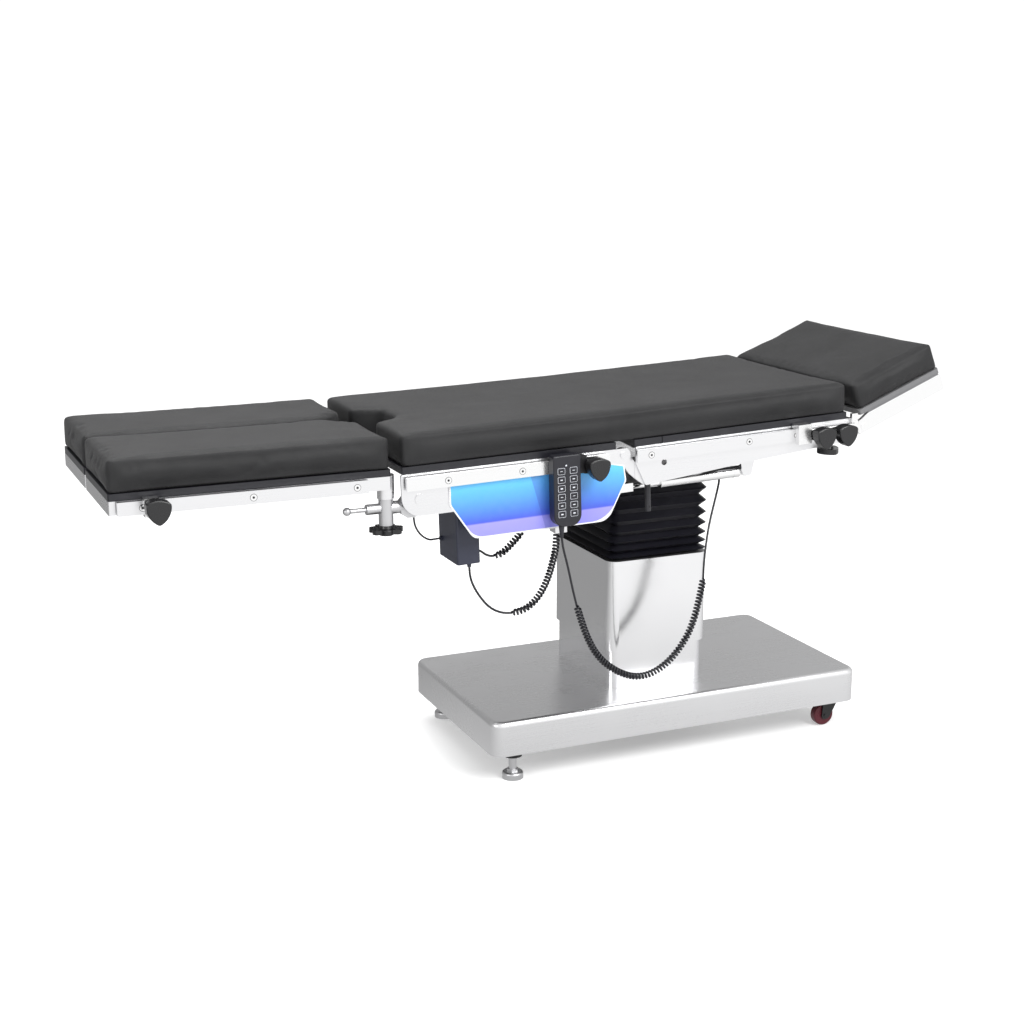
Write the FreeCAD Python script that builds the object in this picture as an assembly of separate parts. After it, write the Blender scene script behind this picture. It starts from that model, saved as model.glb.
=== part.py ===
import FreeCAD, Part
import math
import os

# Operating table with a telescopic column, in millimetres.
# +X runs along the table to the head end, the front is -Y, +Z is up, and the floor is z = 0.
# Each section is drawn flat and level, then turned about its own hinge to the rest pose.

Vec = FreeCAD.Vector

# Base
base_length, base_width, base_bottom, base_height = 990.0, 524.0, 70.0, 83.0
base_wall, base_corner, base_top_edge = 3.0, 30.0, 12.0
base_top = base_bottom + base_height
beam_width, beam_height, beam_inset, frame_gap = 60.0, 40.0, 70.0, 10.0
foot_inset_x, foot_inset_y = 64.0, 41.0
foot_disc_r, foot_disc_h, foot_nut_r, foot_nut_h = 25.0, 17.0, 14.0, 6.0
foot_stem_r, foot_collar_r = 9.5, 22.5
foot_travel = 10.0
caster_inset_x, caster_inset_y = 55.0, 47.0
wheel_r, wheel_width, wheel_axle_r = 28.0, 22.0, 4.0
fork_gap, fork_cheek, fork_trail = 1.5, 4.0, 14.0
caster_stem_r, caster_plate_r = 9.0, 24.0

# Column
column_x, column_from_middle = 477.5, 299.5
lower_size_x, lower_size_y, lower_top = 257.0, 310.0, 370.0
upper_size_x, upper_size_y, upper_bottom, upper_top = 268.0, 321.0, 250.0, 450.0
band_height, band_proud, cover_wall, cover_corner = 23.0, 1.5, 2.0, 26.0
mast_x, mast_y, mast_wall, glide_clearance = 150.0, 190.0, 6.0, 0.5
lower_mast_top, middle_mast_bottom, inner_mast_bottom = 360.0, 170.0, 265.0
mast_cap_h, head_plate_h = 7.0, 8.0
bellows_height, fold_count, fold_depth, bellows_wall = 175.0, 7, 16.5, 6.0
bellows_clearance = 0.3
lift_down, lift_up = 95.0, 75.0

# Tilt head
tilt_z, shaft_r, shaft_fit = 716.0, 12.0, 0.05
ear_inner, ear_thick, ear_width, ear_above = 48.0, 12.0, 38.0, 15.0
yoke_half_x, yoke_half_y = 22.0, 36.0
hanger_inner, hanger_thick = 40.5, 12.0
table_tilt, back_rise, head_rise, leg_rise = 1.65, 0.65, 19.3, 1.65

# Table top, drawn flat
pad_bottom, pad_thick, pad_half, pad_corner = 793.0, 70.0, 275.4, 10.0
board_thick = 16.0
plate_outer, plate_thick = 273.5, 5.0
plate_bottom = 682.0
seat_left, hinge_x, hinge_z = -391.0, 139.4, 761.3
hinge_pin_r, hinge_fit = 8.0, 0.05
hinge_boss_r = 18.0
seat_pad_end, seat_board_end, fold_end, section_gap = 110.0, 122.0, 240.0, 0.4
cutout_half, cutout_inner, cutout_depth, cutout_corner = 92.0, 53.0, 64.0, 22.0
rail_height, rail_thick, rail_standoff, rail_z = 28.6, 9.5, 6.0, 757.0
seat_rail_start, seat_rail_end = -387.0, 98.0
spacer_r = 9.0

# Cradle under the seat, hung on the tilt shaft
cradle_y, cradle_thick = 72.0, 12.0
crossbar = 20.0

# Back section
back_left, back_end = 168.0, 741.0
bridge_end = 240.0
back_plate_end = 766.0
back_crossbars = (400.0, 560.0, 745.0)
arm_thick, arm_gap = 10.0, 1.3
back_rail_start, back_rail_end = 167.0, 614.0
bridge_rod_r, bridge_rod_y, bridge_rod_x, bridge_rod_bottom = 7.0, 245.0, 214.0, 615.0
bridge_lift = 60.0
eye_x, eye_z, actuator_y = 488.0, 670.0, 212.0
barrel_r, rod_r, rod_clearance = 13.5, 7.0, 0.3
barrel_start, rod_start, tine_length, lug_x, lug_z = 262.0, 152.0, 26.0, 150.0, 665.0

# Head section
head_x, head_z, head_pin_r = 789.0, 752.4, 8.0
head_arm_low, head_arm_high, head_arm_end, head_lobe_r = 738.0, 779.0, 1033.0, 20.0
head_pad_start, head_pad_end, head_pad_bottom, head_pad_thick = 790.0, 1035.0, 795.0, 67.0
head_board_thick = 13.0
socket_start, socket_end, claw_width = 590.0, 745.0, 36.0
knob_width, knob_h, knob_corner, knob_edge, knob_stem_r = 51.0, 27.0, 8.0, 3.0, 7.0
knob_gap = 0.5
head_knob_x = (646.0, 706.0)
lower_knob_x, lower_knob_y, lower_knob_top = 680.0, 288.0, 716.0

# Legs
leg_pivot_x, leg_pivot_z, leg_pin_r = -353.1, 719.3, 10.0
post_x, post_y, post_r, post_bottom = -423.6, 250.0, 16.0, 664.8
sleeve_r, sleeve_bottom, sleeve_fit = 18.75, 724.0, 0.05
leg_end, leg_start, leg_inner, leg_pad_drop = -1018.1, -418.1, 4.0, 2.2
leg_board_thick, tray_height, tray_wall = 15.0, 29.0, 4.0
leg_rail_start, leg_rail_end, leg_chamfer = -1001.0, -473.0, 64.0
star_r, star_h, star_lobes = 37.5, 22.0, 7

# Handset, panel and control box
panel_thick, panel_corner = 4.0, 22.0
box_x0, box_x1, box_y0, box_y1, box_z0, box_z1 = -256.0, -201.0, -232.0, -118.0, 546.0, 681.0
handset_top, handset_bottom, handset_back, handset_thick = 787.0, 625.0, 290.0, 26.0
rail_clamp_x, rail_clamp_width, clamp_knob_x = 14.5, 20.0, 53.0
leg_clamp_x, leg_clamp_width = -949.0, 29.0

# Cords
lead_r, coil_r, gland_r = 2.8, 9.0, 5.5
handset_lead_route = [(-30.7, -307, 589.1), (-29, -307, 570), (-17, -303, 534), (-6, -298, 497),
                      (4, -294, 459), (15, -292, 421)]
handset_coil_route = [(15, -292, 421), (31, -292, 370), (51, -292, 323), (76, -292, 286),
                      (108, -292, 258), (144, -292, 237), (182, -292, 228), (220, -292, 235),
                      (256, -292, 256), (288, -292, 289), (313, -292, 329), (331, -292, 385),
                      (343, -292, 448)]
handset_tail_route = [(343, -292, 448), (346, -288, 485), (357, -276, 522), (375, -256, 563),
                      (400, -232, 602), (425, -208, 638), (445, -184, 664), (450, -156, 682),
                      (440, -120, 699), (415, -92, 711), (388, -78, 717), (361.3, -78, 717.8)]
box_lead_route = [(-343.3, -204, 646), (-342, -203, 628), (-331, -198, 608), (-311, -180, 589),
                  (-287, -154, 575), (-273, -138, 571.4), (-257.4, -138, 571.9)]
valve_lead_route = [(-210.6, -200, 514.9), (-210, -200, 497), (-204, -200, 476), (-194, -200, 456),
                    (-181, -200, 436), (-165, -200, 417), (-147, -200, 404), (-127, -200, 396),
                    (-107, -200, 394)]
valve_coil_route = [(-107, -200, 394), (-81, -202, 396), (-58, -206, 411), (-42, -213, 433),
                    (-31, -221, 460), (-24, -229, 489), (-20, -238, 520), (-17, -249, 556),
                    (-17, -249, 587.2)]
pump_lead_route = [(-190, -196, 549.8), (-182, -196, 549.9), (-172, -198, 540), (-159, -200, 534.5),
                   (-150, -200, 534.5)]
pump_coil_route = [(-150, -200, 534.5), (-138, -200, 534.5), (-123, -203, 545), (-108, -209, 563),
                   (-93, -216, 582), (-89, -218, 596), (-89, -218, 613.2)]

# Derived places: the middle of the whole length is x = 0, and world x is measured in the same frame
column_mid = column_from_middle
base_x0 = column_mid - column_x
base_x1 = base_x0 + base_length
tilt_pivot = Vec(column_mid, 0, tilt_z)
back_hinge = Vec(hinge_x, 0, hinge_z)
head_pivot = Vec(head_x, 0, head_z)
leg_pivot = Vec(leg_pivot_x, 0, leg_pivot_z)
board_bottom = pad_bottom - board_thick
plate_inner = plate_outer - plate_thick
rail_inner = plate_outer + rail_standoff
rail_outer = rail_inner + rail_thick
column_top = upper_top + band_height
head_plate_bottom = column_top + bellows_height
head_plate_top = head_plate_bottom + head_plate_h
leg_pad_bottom = pad_bottom - leg_pad_drop
leg_board_bottom = leg_pad_bottom - leg_board_thick
tray_bottom = leg_board_bottom - tray_height
table_turns = [(tilt_pivot, -table_tilt)]
section_turns = {
    "world": [],
    "table": table_turns,
    "back": [(back_hinge, -back_rise)] + table_turns,
    "head": [(head_pivot, -head_rise), (back_hinge, -back_rise)] + table_turns,
    "leg": [(leg_pivot, leg_rise)] + table_turns,
}
nodes = {}


def place(shape, section):
    """Turn a flat shape to the rest pose of its section."""
    placed = shape.copy()
    for pivot, degrees in section_turns[section]:
        placed.rotate(pivot, Vec(0, 1, 0), degrees)
    return placed


def place_point(point, section):
    """Turn a flat point to the rest pose of its section."""
    for pivot, degrees in section_turns[section]:
        point = pivot + FreeCAD.Rotation(Vec(0, 1, 0), degrees).multVec(point - pivot)
    return point


def place_axis(axis, section):
    """Turn a flat direction to the rest pose of its section."""
    for pivot, degrees in section_turns[section]:
        axis = FreeCAD.Rotation(Vec(0, 1, 0), degrees).multVec(axis)
    return axis


def add(name, shapes, section="world"):
    nodes.setdefault(name, []).extend(place(shape, section) for shape in shapes)


def box(x0, x1, y0, y1, z0, z1):
    return Part.makeBox(x1 - x0, y1 - y0, z1 - z0, Vec(x0, y0, z0))


def rod(start, end, radius):
    return Part.makeCylinder(radius, (end - start).Length, start, end - start)


def outline(corners, lift):
    """Closed wire through (u, v, radius) corners, each rounded by its radius."""
    edges, first, last = [], None, None
    count = len(corners)
    for index in range(count):
        u, v, radius = corners[index]
        corner = Vec(u, v, 0)
        before = Vec(*corners[index - 1][:2], 0) - corner
        after = Vec(*corners[(index + 1) % count][:2], 0) - corner
        before.normalize()
        after.normalize()
        if radius:
            half = before.getAngle(after) / 2
            reach = radius / math.tan(half)
            centre = corner + (before + after).normalize() * (radius / math.sin(half))
            enter, leave = corner + before * reach, corner + after * reach
            middle = centre + (corner - centre).normalize() * radius
        else:
            enter = leave = corner
        if last is not None:
            edges.append(Part.LineSegment(lift(last), lift(enter)).toShape())
        if radius:
            edges.append(Part.Arc(lift(enter), lift(middle), lift(leave)).toShape())
        first = enter if first is None else first
        last = leave
    edges.append(Part.LineSegment(lift(last), lift(first)).toShape())
    return Part.Wire(edges)


def side_plate(corners, y0, y1):
    face = Part.Face(outline(corners, lambda p: Vec(p.x, y0, p.y)))
    return face.extrude(Vec(0, y1 - y0, 0))


def flat_plate(corners, z0, z1):
    face = Part.Face(outline(corners, lambda p: Vec(p.x, p.y, z0)))
    return face.extrude(Vec(0, 0, z1 - z0))


def cross_plate(corners, x0, x1):
    face = Part.Face(outline(corners, lambda p: Vec(x0, p.x, p.y)))
    return face.extrude(Vec(x1 - x0, 0, 0))


def rounded(x0, x1, y0, y1, z0, z1, radius):
    return flat_plate([(x0, y0, radius), (x1, y0, radius), (x1, y1, radius), (x0, y1, radius)], z0, z1)


def centred(size_x, size_y, z0, z1, radius):
    return rounded(column_mid - size_x / 2, column_mid + size_x / 2, -size_y / 2, size_y / 2, z0, z1, radius)


def rectangle_wire(half_x, half_y, z, radius):
    corners = [(column_mid - half_x, -half_y, radius), (column_mid + half_x, -half_y, radius),
               (column_mid + half_x, half_y, radius), (column_mid - half_x, half_y, radius)]
    return outline(corners, lambda p: Vec(p.x, p.y, z))


def other_side(shape):
    return shape.mirror(Vec(0, 0, 0), Vec(0, 1, 0))


def both_sides(shape):
    return [shape, other_side(shape)]


def joined(shapes):
    return shapes[0].multiFuse(shapes[1:]).removeSplitter()


def hole_y(x, z, radius, y0, y1):
    return rod(Vec(x, y0, z), Vec(x, y1, z), radius)


def base_parts():
    half = base_width / 2
    shell = rounded(base_x0, base_x1, -half, half, base_bottom, base_top, base_corner)
    top_edges = [edge for edge in shell.Edges
                 if min(vertex.Z for vertex in edge.Vertexes) > base_top - 0.01]
    shell = shell.makeFillet(base_top_edge, top_edges)
    cavity = rounded(base_x0 + base_wall, base_x1 - base_wall, base_wall - half, half - base_wall,
                     base_bottom - 1, base_top - base_wall, base_corner - base_wall)
    cavity = cavity.makeFillet(base_top_edge - base_wall, [
        edge for edge in cavity.Edges
        if min(vertex.Z for vertex in edge.Vertexes) > base_top - base_wall - 0.01])
    well = centred(lower_size_x - 2 * cover_corner, lower_size_y - 2 * cover_corner,
                   base_bottom, base_top + 1, cover_corner)
    add("base_cover", [shell.cut(cavity).cut(well)])
    frame_top = base_top - base_wall
    beam_z = frame_top - beam_height
    frame_inset, half_beam = base_wall + frame_gap, beam_width / 2
    beams = [box(base_x0 + frame_inset, base_x1 - frame_inset, y - half_beam, y + half_beam, beam_z, frame_top)
             for y in (beam_inset - half, half - beam_inset)]
    for x in (base_x0 + foot_inset_x, column_mid - mast_x, column_mid + mast_x, base_x1 - caster_inset_x):
        beams.append(box(x - half_beam, x + half_beam, frame_inset - half, half - frame_inset, beam_z, frame_top))
    bed = box(column_mid - mast_x, column_mid + mast_x, -mast_y, mast_y, beam_z - cover_wall * 4, beam_z)
    mast = mast_tube(mast_x, mast_y, beam_z - cover_wall * 4, lower_mast_top)
    mast_hole = centred(mast_x - 2 * mast_wall, mast_y - 2 * mast_wall, beam_z - 20, frame_top + 1, 6)
    pads = []
    for side in (-1, 1):
        foot_x, foot_y = base_x0 + foot_inset_x, side * (half - foot_inset_y)
        socket = rod(Vec(foot_x, foot_y, base_bottom - 15), Vec(foot_x, foot_y, beam_z), foot_collar_r)
        pads.append(socket)
        wheel_x, wheel_y = base_x1 - caster_inset_x, side * (half - caster_inset_y)
        pads.append(rod(Vec(wheel_x, wheel_y, base_bottom), Vec(wheel_x, wheel_y, beam_z), caster_plate_r))
    chassis = joined(beams + [bed] + pads).cut(mast_hole)
    chassis = joined([chassis, mast])
    for side in (-1, 1):
        foot = Vec(base_x0 + foot_inset_x, side * (half - foot_inset_y), 0)
        stem_room = rod(foot + Vec(0, 0, base_bottom - 16), foot + Vec(0, 0, frame_top - 4),
                        foot_stem_r + shaft_fit)
        wheel = Vec(base_x1 - caster_inset_x, side * (half - caster_inset_y), 0)
        fork_room = rod(wheel + Vec(0, 0, base_bottom - 1), wheel + Vec(0, 0, frame_top - 4),
                        caster_stem_r + shaft_fit)
        chassis = chassis.cut(stem_room).cut(fork_room)
    add("base_chassis", [chassis])


def mast_tube(size_x, size_y, z0, z1):
    outer = centred(size_x, size_y, z0, z1, 10)
    inner = centred(size_x - 2 * mast_wall, size_y - 2 * mast_wall, z0 - 1, z1 + 1, 6)
    return outer.cut(inner)


def levelling_foot(side):
    x, y = base_x0 + foot_inset_x, side * (base_width / 2 - foot_inset_y)
    disc = rod(Vec(x, y, 0), Vec(x, y, foot_disc_h), foot_disc_r)
    rim = [edge for edge in disc.Edges
           if edge.Curve.TypeId == "Part::GeomCircle" and edge.Vertexes[0].Z > 1]
    disc = disc.makeFillet(6, rim)
    nut_angles = [math.radians(60 * k) for k in range(6)]
    nut_corners = [(x + foot_nut_r * math.cos(a), y + foot_nut_r * math.sin(a), 0) for a in nut_angles]
    nut = flat_plate(nut_corners, foot_disc_h, foot_disc_h + foot_nut_h)
    stem_top = base_bottom + 45
    stem = rod(Vec(x, y, foot_disc_h), Vec(x, y, stem_top), foot_stem_r)
    return joined([disc, nut, stem])


def caster(side):
    x, y = base_x1 - caster_inset_x, side * (base_width / 2 - caster_inset_y)
    half = wheel_width / 2
    axle = Vec(x - fork_trail, y, wheel_r)
    profile = outline([(wheel_axle_r + shaft_fit, -half, 0), (wheel_r, -half, 5), (wheel_r, half, 5),
                       (wheel_axle_r + shaft_fit, half, 0)], lambda p: Vec(axle.x + p.x, y + p.y, wheel_r))
    wheel = Part.Face(profile).revolve(axle, Vec(0, 1, 0), 360)
    fork_top = base_bottom - 1.0
    crown_z = 2 * wheel_r + 3
    cheek_y0, cheek_y1 = half + fork_gap, half + fork_gap + fork_cheek
    cheek = side_plate([(axle.x - 10, wheel_r - 10, 9), (axle.x + 10, wheel_r - 10, 9), (x + 19, crown_z, 2),
                        (x - 21, crown_z, 2)], y + cheek_y0, y + cheek_y1)
    far_cheek = cheek.copy()
    far_cheek.translate(Vec(0, -cheek_y0 - cheek_y1, 0))
    crown = rounded(x - 22, x + 20, y - cheek_y1, y + cheek_y1, crown_z - 0.5, crown_z + 4, 8)
    boss = rod(Vec(x, y, crown_z), Vec(x, y, fork_top), caster_plate_r - 2)
    stem = rod(Vec(x, y, crown_z), Vec(x, y, base_bottom + 40), caster_stem_r)
    pin = rod(axle - Vec(0, cheek_y1 + 2, 0), axle + Vec(0, cheek_y1 + 2, 0), wheel_axle_r)
    return joined([cheek, far_cheek, crown, boss, stem, pin]), wheel


def column_parts():
    lower = centred(lower_size_x, lower_size_y, base_top, lower_top, cover_corner)
    lower_room = centred(lower_size_x - 2 * cover_wall, lower_size_y - 2 * cover_wall, base_top - 1,
                         lower_top + 1, cover_corner - cover_wall)
    add("lower_column_cover", [lower.cut(lower_room)])
    upper = centred(upper_size_x, upper_size_y, upper_bottom, upper_top, cover_corner)
    upper_room = centred(upper_size_x - 2 * cover_wall, upper_size_y - 2 * cover_wall, upper_bottom - 1,
                         upper_top + 1, cover_corner - cover_wall)
    band = centred(upper_size_x + 2 * band_proud, upper_size_y + 2 * band_proud, upper_top, column_top,
                   cover_corner + band_proud)
    band_room = centred(upper_size_x - 2 * cover_wall, upper_size_y - 2 * cover_wall, upper_top - 1,
                        column_top + 1, cover_corner - cover_wall)
    add("upper_column_cover", [upper.cut(upper_room), band.cut(band_room)])
    step = 2 * (mast_wall + glide_clearance)
    middle = mast_tube(mast_x - step, mast_y - step, middle_mast_bottom, column_top)
    cap = centred(upper_size_x - 2 * cover_wall, upper_size_y - 2 * cover_wall, column_top - mast_cap_h,
                  column_top, cover_corner - cover_wall)
    cap = cap.cut(centred(mast_x - step - 1, mast_y - step - 1, column_top - 20, column_top + 1, 8))
    add("middle_mast", [joined([middle, cap])])
    inner = mast_tube(mast_x - 2 * step, mast_y - 2 * step, inner_mast_bottom, head_plate_bottom)
    plate = centred(upper_size_x + 1, upper_size_y + 1, head_plate_bottom, head_plate_top, cover_corner)
    ears = []
    for side in (-1, 1):
        y0 = side * ear_inner if side > 0 else -ear_inner - ear_thick
        half = ear_width / 2
        ear = side_plate([(column_mid - half - 12, head_plate_top, 0),
                          (column_mid + half + 12, head_plate_top, 0),
                          (column_mid + half, head_plate_top + 20, 6), (column_mid + half, tilt_z + ear_above, 14),
                          (column_mid - half, tilt_z + ear_above, 14),
                          (column_mid - half, head_plate_top + 20, 6)], y0, y0 + ear_thick)
        ears.append(ear.cut(hole_y(column_mid, tilt_z, shaft_r + shaft_fit, -80, 80)))
    add("column_head", [joined([inner, plate] + ears)])


def bellows_shape():
    """Folds get lower towards the bottom, where the rubber carries its own weight."""
    low, high = column_top + bellows_clearance, head_plate_bottom - bellows_clearance
    weights = [1 + 0.16 * k for k in range(fold_count)]
    pitch_unit = (high - low) / sum(weights)
    half_x, half_y = upper_size_x / 2, upper_size_y / 2
    inner_x, inner_y = half_x - fold_depth, half_y - fold_depth
    wires, z = [rectangle_wire(inner_x, inner_y, low, 16)], low
    for weight in weights:
        pitch = weight * pitch_unit
        wires.append(rectangle_wire(half_x, half_y, z + pitch / 2, cover_corner))
        z += pitch
        wires.append(rectangle_wire(inner_x, inner_y, z, 16))
    outside = Part.makeLoft(wires, True, True)
    room = centred(2 * (inner_x - bellows_wall), 2 * (inner_y - bellows_wall), low - 1, high + 1, 12)
    return outside.cut(room)


def tilt_yoke():
    """Crossed shafts: the long one turns in the head's ears, the other carries the table."""
    block = Part.makeBox(2 * yoke_half_x, 2 * yoke_half_y, 2 * yoke_half_x,
                         Vec(column_mid - yoke_half_x, -yoke_half_y, tilt_z - yoke_half_x))
    block = block.makeFillet(6, block.Edges)
    across = hole_y(column_mid, tilt_z, shaft_r, -ear_inner - ear_thick - 5, ear_inner + ear_thick + 5)
    reach = hanger_inner + hanger_thick + 4
    along = rod(Vec(column_mid - reach, 0, tilt_z), Vec(column_mid + reach, 0, tilt_z), shaft_r)
    return joined([block, across, along])


def seat_plate():
    """Left side plate of the seat with the lobe round the back hinge."""
    body = side_plate([(seat_left - 4, board_bottom, 4), (seat_left - 4, plate_bottom, 45),
                       (hinge_x - 60, plate_bottom, 30), (hinge_x, hinge_z - hinge_boss_r - 18, 12),
                       (hinge_x + 4, board_bottom, 0)], -plate_outer, -plate_inner)
    lobe = hole_y(hinge_x, hinge_z, hinge_boss_r, -plate_outer, -plate_inner)
    lobe = lobe.common(box(hinge_x - 60, hinge_x + 60, -plate_outer - 1, 0, 0, board_bottom))
    return joined([body, lobe])


def cradle_beam():
    high, low = tilt_z + 14, tilt_z - 8
    shaft_end = column_mid + hanger_inner + hanger_thick
    beam_start = seat_left + cutout_depth + 10
    return side_plate([(shaft_end, low, 0), (shaft_end, high, 0), (column_mid - 37, high, 8),
                       (column_mid - 75, board_bottom - 25, 8), (column_mid - 134, board_bottom - 13, 8),
                       (column_mid - 159, board_bottom, 0), (beam_start, board_bottom, 0),
                       (beam_start, board_bottom - 25, 0), (column_mid - 142, board_bottom - 25, 8),
                       (column_mid - 69, low + 7, 8), (column_mid - 54, low, 0)],
                      -cradle_y - cradle_thick, -cradle_y)


def hanger(side):
    """Plate that hangs the table on the long shaft."""
    x0 = column_mid + (hanger_inner if side > 0 else -hanger_inner - hanger_thick)
    low, high = tilt_z - 8, tilt_z + 14
    plate = cross_plate([(-cradle_y, low, 0), (-32, low, 8), (-26, tilt_z - 24, 12), (26, tilt_z - 24, 12),
                         (32, low, 8), (cradle_y, low, 0), (cradle_y, high, 0), (-cradle_y, high, 0)],
                        x0, x0 + hanger_thick)
    return plate.cut(rod(Vec(x0 - 1, 0, tilt_z), Vec(x0 + hanger_thick + 1, 0, tilt_z), shaft_r + shaft_fit))


def seat_parts():
    plate = seat_plate()
    frame = both_sides(plate)
    for x in (seat_left + cutout_depth + 20, -60, seat_pad_end - 20):
        frame.append(box(x - crossbar / 2, x + crossbar / 2, -plate_inner, plate_inner,
                         board_bottom - 25, board_bottom))
    frame += both_sides(cradle_beam()) + [hanger(-1), hanger(1)]
    for side in (-1, 1):
        hinge_pin = hole_y(hinge_x, hinge_z, hinge_pin_r, side * (plate_inner - arm_thick - 6),
                           side * (plate_outer + 3))
        leg_pin = hole_y(leg_pivot_x, leg_pivot_z, leg_pin_r, side * (post_y - 14), side * (plate_outer + 2))
        head = hole_y(leg_pivot_x, leg_pivot_z, leg_pin_r + 2, side * plate_outer, side * (plate_outer + 2.5))
        frame += [hinge_pin, leg_pin, head]
        lug_corners = [(lug_x - 66, board_bottom - 5, 0), (lug_x - 44, board_bottom - 5, 0),
                       (lug_x + 9, lug_z + 8, 4), (lug_x + 9, lug_z - 9, 4), (lug_x - 6, lug_z - 9, 4)]
        frame.append(side_plate(lug_corners, side * actuator_y - 3, side * actuator_y + 3))
    guide_x = seat_left + 40
    guide = joined([box(guide_x, guide_x + 12, -211, -197, 665, board_bottom - 5),
                    box(guide_x, guide_x + 44, -211, -197, board_bottom - 20, board_bottom - 5)])
    valve_socket = box(-32, -3, -plate_inner, -237, 599, plate_bottom + 8)
    pump_socket = box(-103, -74, -plate_inner, -204, 629, plate_bottom + 8)
    hanger_end = column_mid + hanger_inner + hanger_thick
    socket = box(hanger_end, hanger_end + 9, -cradle_y - 10, -cradle_y + 14, tilt_z - 10, tilt_z + 10)
    add("seat_frame", [joined(frame + [guide, socket]), valve_socket, pump_socket], "table")
    rails = []
    for side in (-1, 1):
        rail = rail_bar(seat_rail_start, seat_rail_end, side, (-291.9, -116.9, 60.0))
        rails.append(rail)
    add("seat_rails", rails, "table")
    add("seat_board", [seat_slab(board_bottom, pad_bottom, pad_half - 3, 4, seat_board_end)], "table")
    pad_top = pad_bottom + pad_thick
    add("seat_pad", [seat_slab(pad_bottom, pad_top, pad_half, pad_corner, seat_pad_end)], "table")
    fold = rounded(seat_pad_end + section_gap, fold_end - 5 * section_gap, -pad_half, pad_half, pad_bottom, pad_top, 2)
    board_room = box(seat_pad_end, fold_end, -pad_half - 1, pad_half + 1, pad_bottom - 1, pad_bottom + 3)
    web = box(seat_board_end + section_gap, back_left - 4 * section_gap, 3 - pad_half, pad_half - 3,
              board_bottom + 2, pad_bottom + 4)
    add("pad_fold", [joined([fold.cut(board_room), web])], "table")


def seat_slab(z0, z1, half, corner, end):
    """Slab with the perineal cut-out at the foot end."""
    inner_x = seat_left + cutout_depth
    mouth_corner = cutout_corner / 2
    return flat_plate([(seat_left, -half, corner), (end, -half, 2), (end, half, 2), (seat_left, half, corner),
                       (seat_left, cutout_half, mouth_corner), (inner_x, cutout_inner, cutout_corner),
                       (inner_x, -cutout_inner, cutout_corner), (seat_left, -cutout_half, mouth_corner)], z0, z1)


def rail_bar(x0, x1, side, spacers):
    """Accessory rail on round spacers, for clamps of the usual pattern."""
    y0, y1 = sorted((side * rail_inner, side * rail_outer))
    bar = side_plate([(x0, rail_z - rail_height / 2, 2), (x1, rail_z - rail_height / 2, 2),
                      (x1, rail_z + rail_height / 2, 2), (x0, rail_z + rail_height / 2, 2)], y0, y1)
    posts = [hole_y(x, rail_z, spacer_r, side * plate_outer, side * rail_inner) for x in spacers]
    return joined([bar] + posts)


def panel():
    return side_plate([(-286.0, 745.0, 0), (-286.7, 697.6, 5), (-233.0, 616.0, panel_corner),
                       (96.0, 614.6, panel_corner + 16), (143.7, 703.5, 4), (139.0, 738.0, 0), (104, 745.0, 0)],
                      -plate_outer - panel_thick, -plate_outer)


def control_box():
    body = rounded(box_x0, box_x1, box_y0, box_y1, box_z0, box_z1, 5)
    ridge = box(box_x0 + 8, box_x1 - 8, box_y0 + 8, box_y1 - 8, box_z1, board_bottom)
    gland = Part.makeCone(gland_r + 1, lead_r + 1.5, 16, Vec(-216.2, -200, box_z0), Vec(0, 0, -1))
    side_gland = rod(Vec(box_x1, -196, 564), Vec(box_x1 + 6, -196, 564), gland_r)
    far_gland = rod(Vec(box_x0 - 5, -138, 588), Vec(box_x0, -138, 588), gland_r)
    return joined([body, ridge, gland, side_gland, far_gland])


def tri_knob(centre, across, apex, stem_length, height=knob_h):
    """Three-sided clamp knob: bowed sides, round corners and top edge, with its hub and stem."""
    side = knob_width - 2 * knob_corner
    angles = [math.radians(120 * k) for k in range(3)]
    corners = [Vec(math.sin(angle), math.cos(angle), 0) * (side / math.sqrt(3)) for angle in angles]
    middles = [corner * (1 - side / corner.Length) for corner in corners]
    arcs = [Part.Arc(corners[0], middles[2], corners[1]), Part.Arc(corners[1], middles[0], corners[2]),
            Part.Arc(corners[2], middles[1], corners[0])]
    wire = Part.Wire([arc.toShape() for arc in arcs]).makeOffset2D(knob_corner)
    grip = Part.Face(wire).extrude(Vec(0, 0, height))
    grip = grip.makeFillet(knob_edge, [edge for edge in grip.Edges if edge.BoundBox.ZMin > height - 0.01])
    hub = Part.makeCone(knob_stem_r + 3, knob_stem_r + 5, 5, Vec(0, 0, -5))
    stem = rod(Vec(0, 0, -5 - stem_length), Vec(0, 0, 1), knob_stem_r)
    knob = joined([grip, hub, stem])
    knob.Placement = FreeCAD.Placement(centre, FreeCAD.Rotation(across, apex, across.cross(apex), "ZXY"))
    return knob


def star_knob(centre):
    """Lobed hand wheel under the leg post, pointing down."""
    corners = []
    for k in range(star_lobes):
        for offset, radius, corner_r in ((-9, star_r, 6), (9, star_r, 6), (25.7, star_r - 9, 5)):
            angle = math.radians(360 / star_lobes * k + offset)
            corner = centre + Vec(radius * math.cos(angle), radius * math.sin(angle), 0)
            corners.append((corner.x, corner.y, corner_r))
    wheel = flat_plate(corners, centre.z - 16, centre.z - 6)
    hub = Part.makeCone(13, 17, 12, Vec(centre.x, centre.y, centre.z), Vec(0, 0, -1))
    base = rod(centre - Vec(0, 0, star_h), centre - Vec(0, 0, 10), 15)
    return joined([wheel, hub, base])


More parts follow.
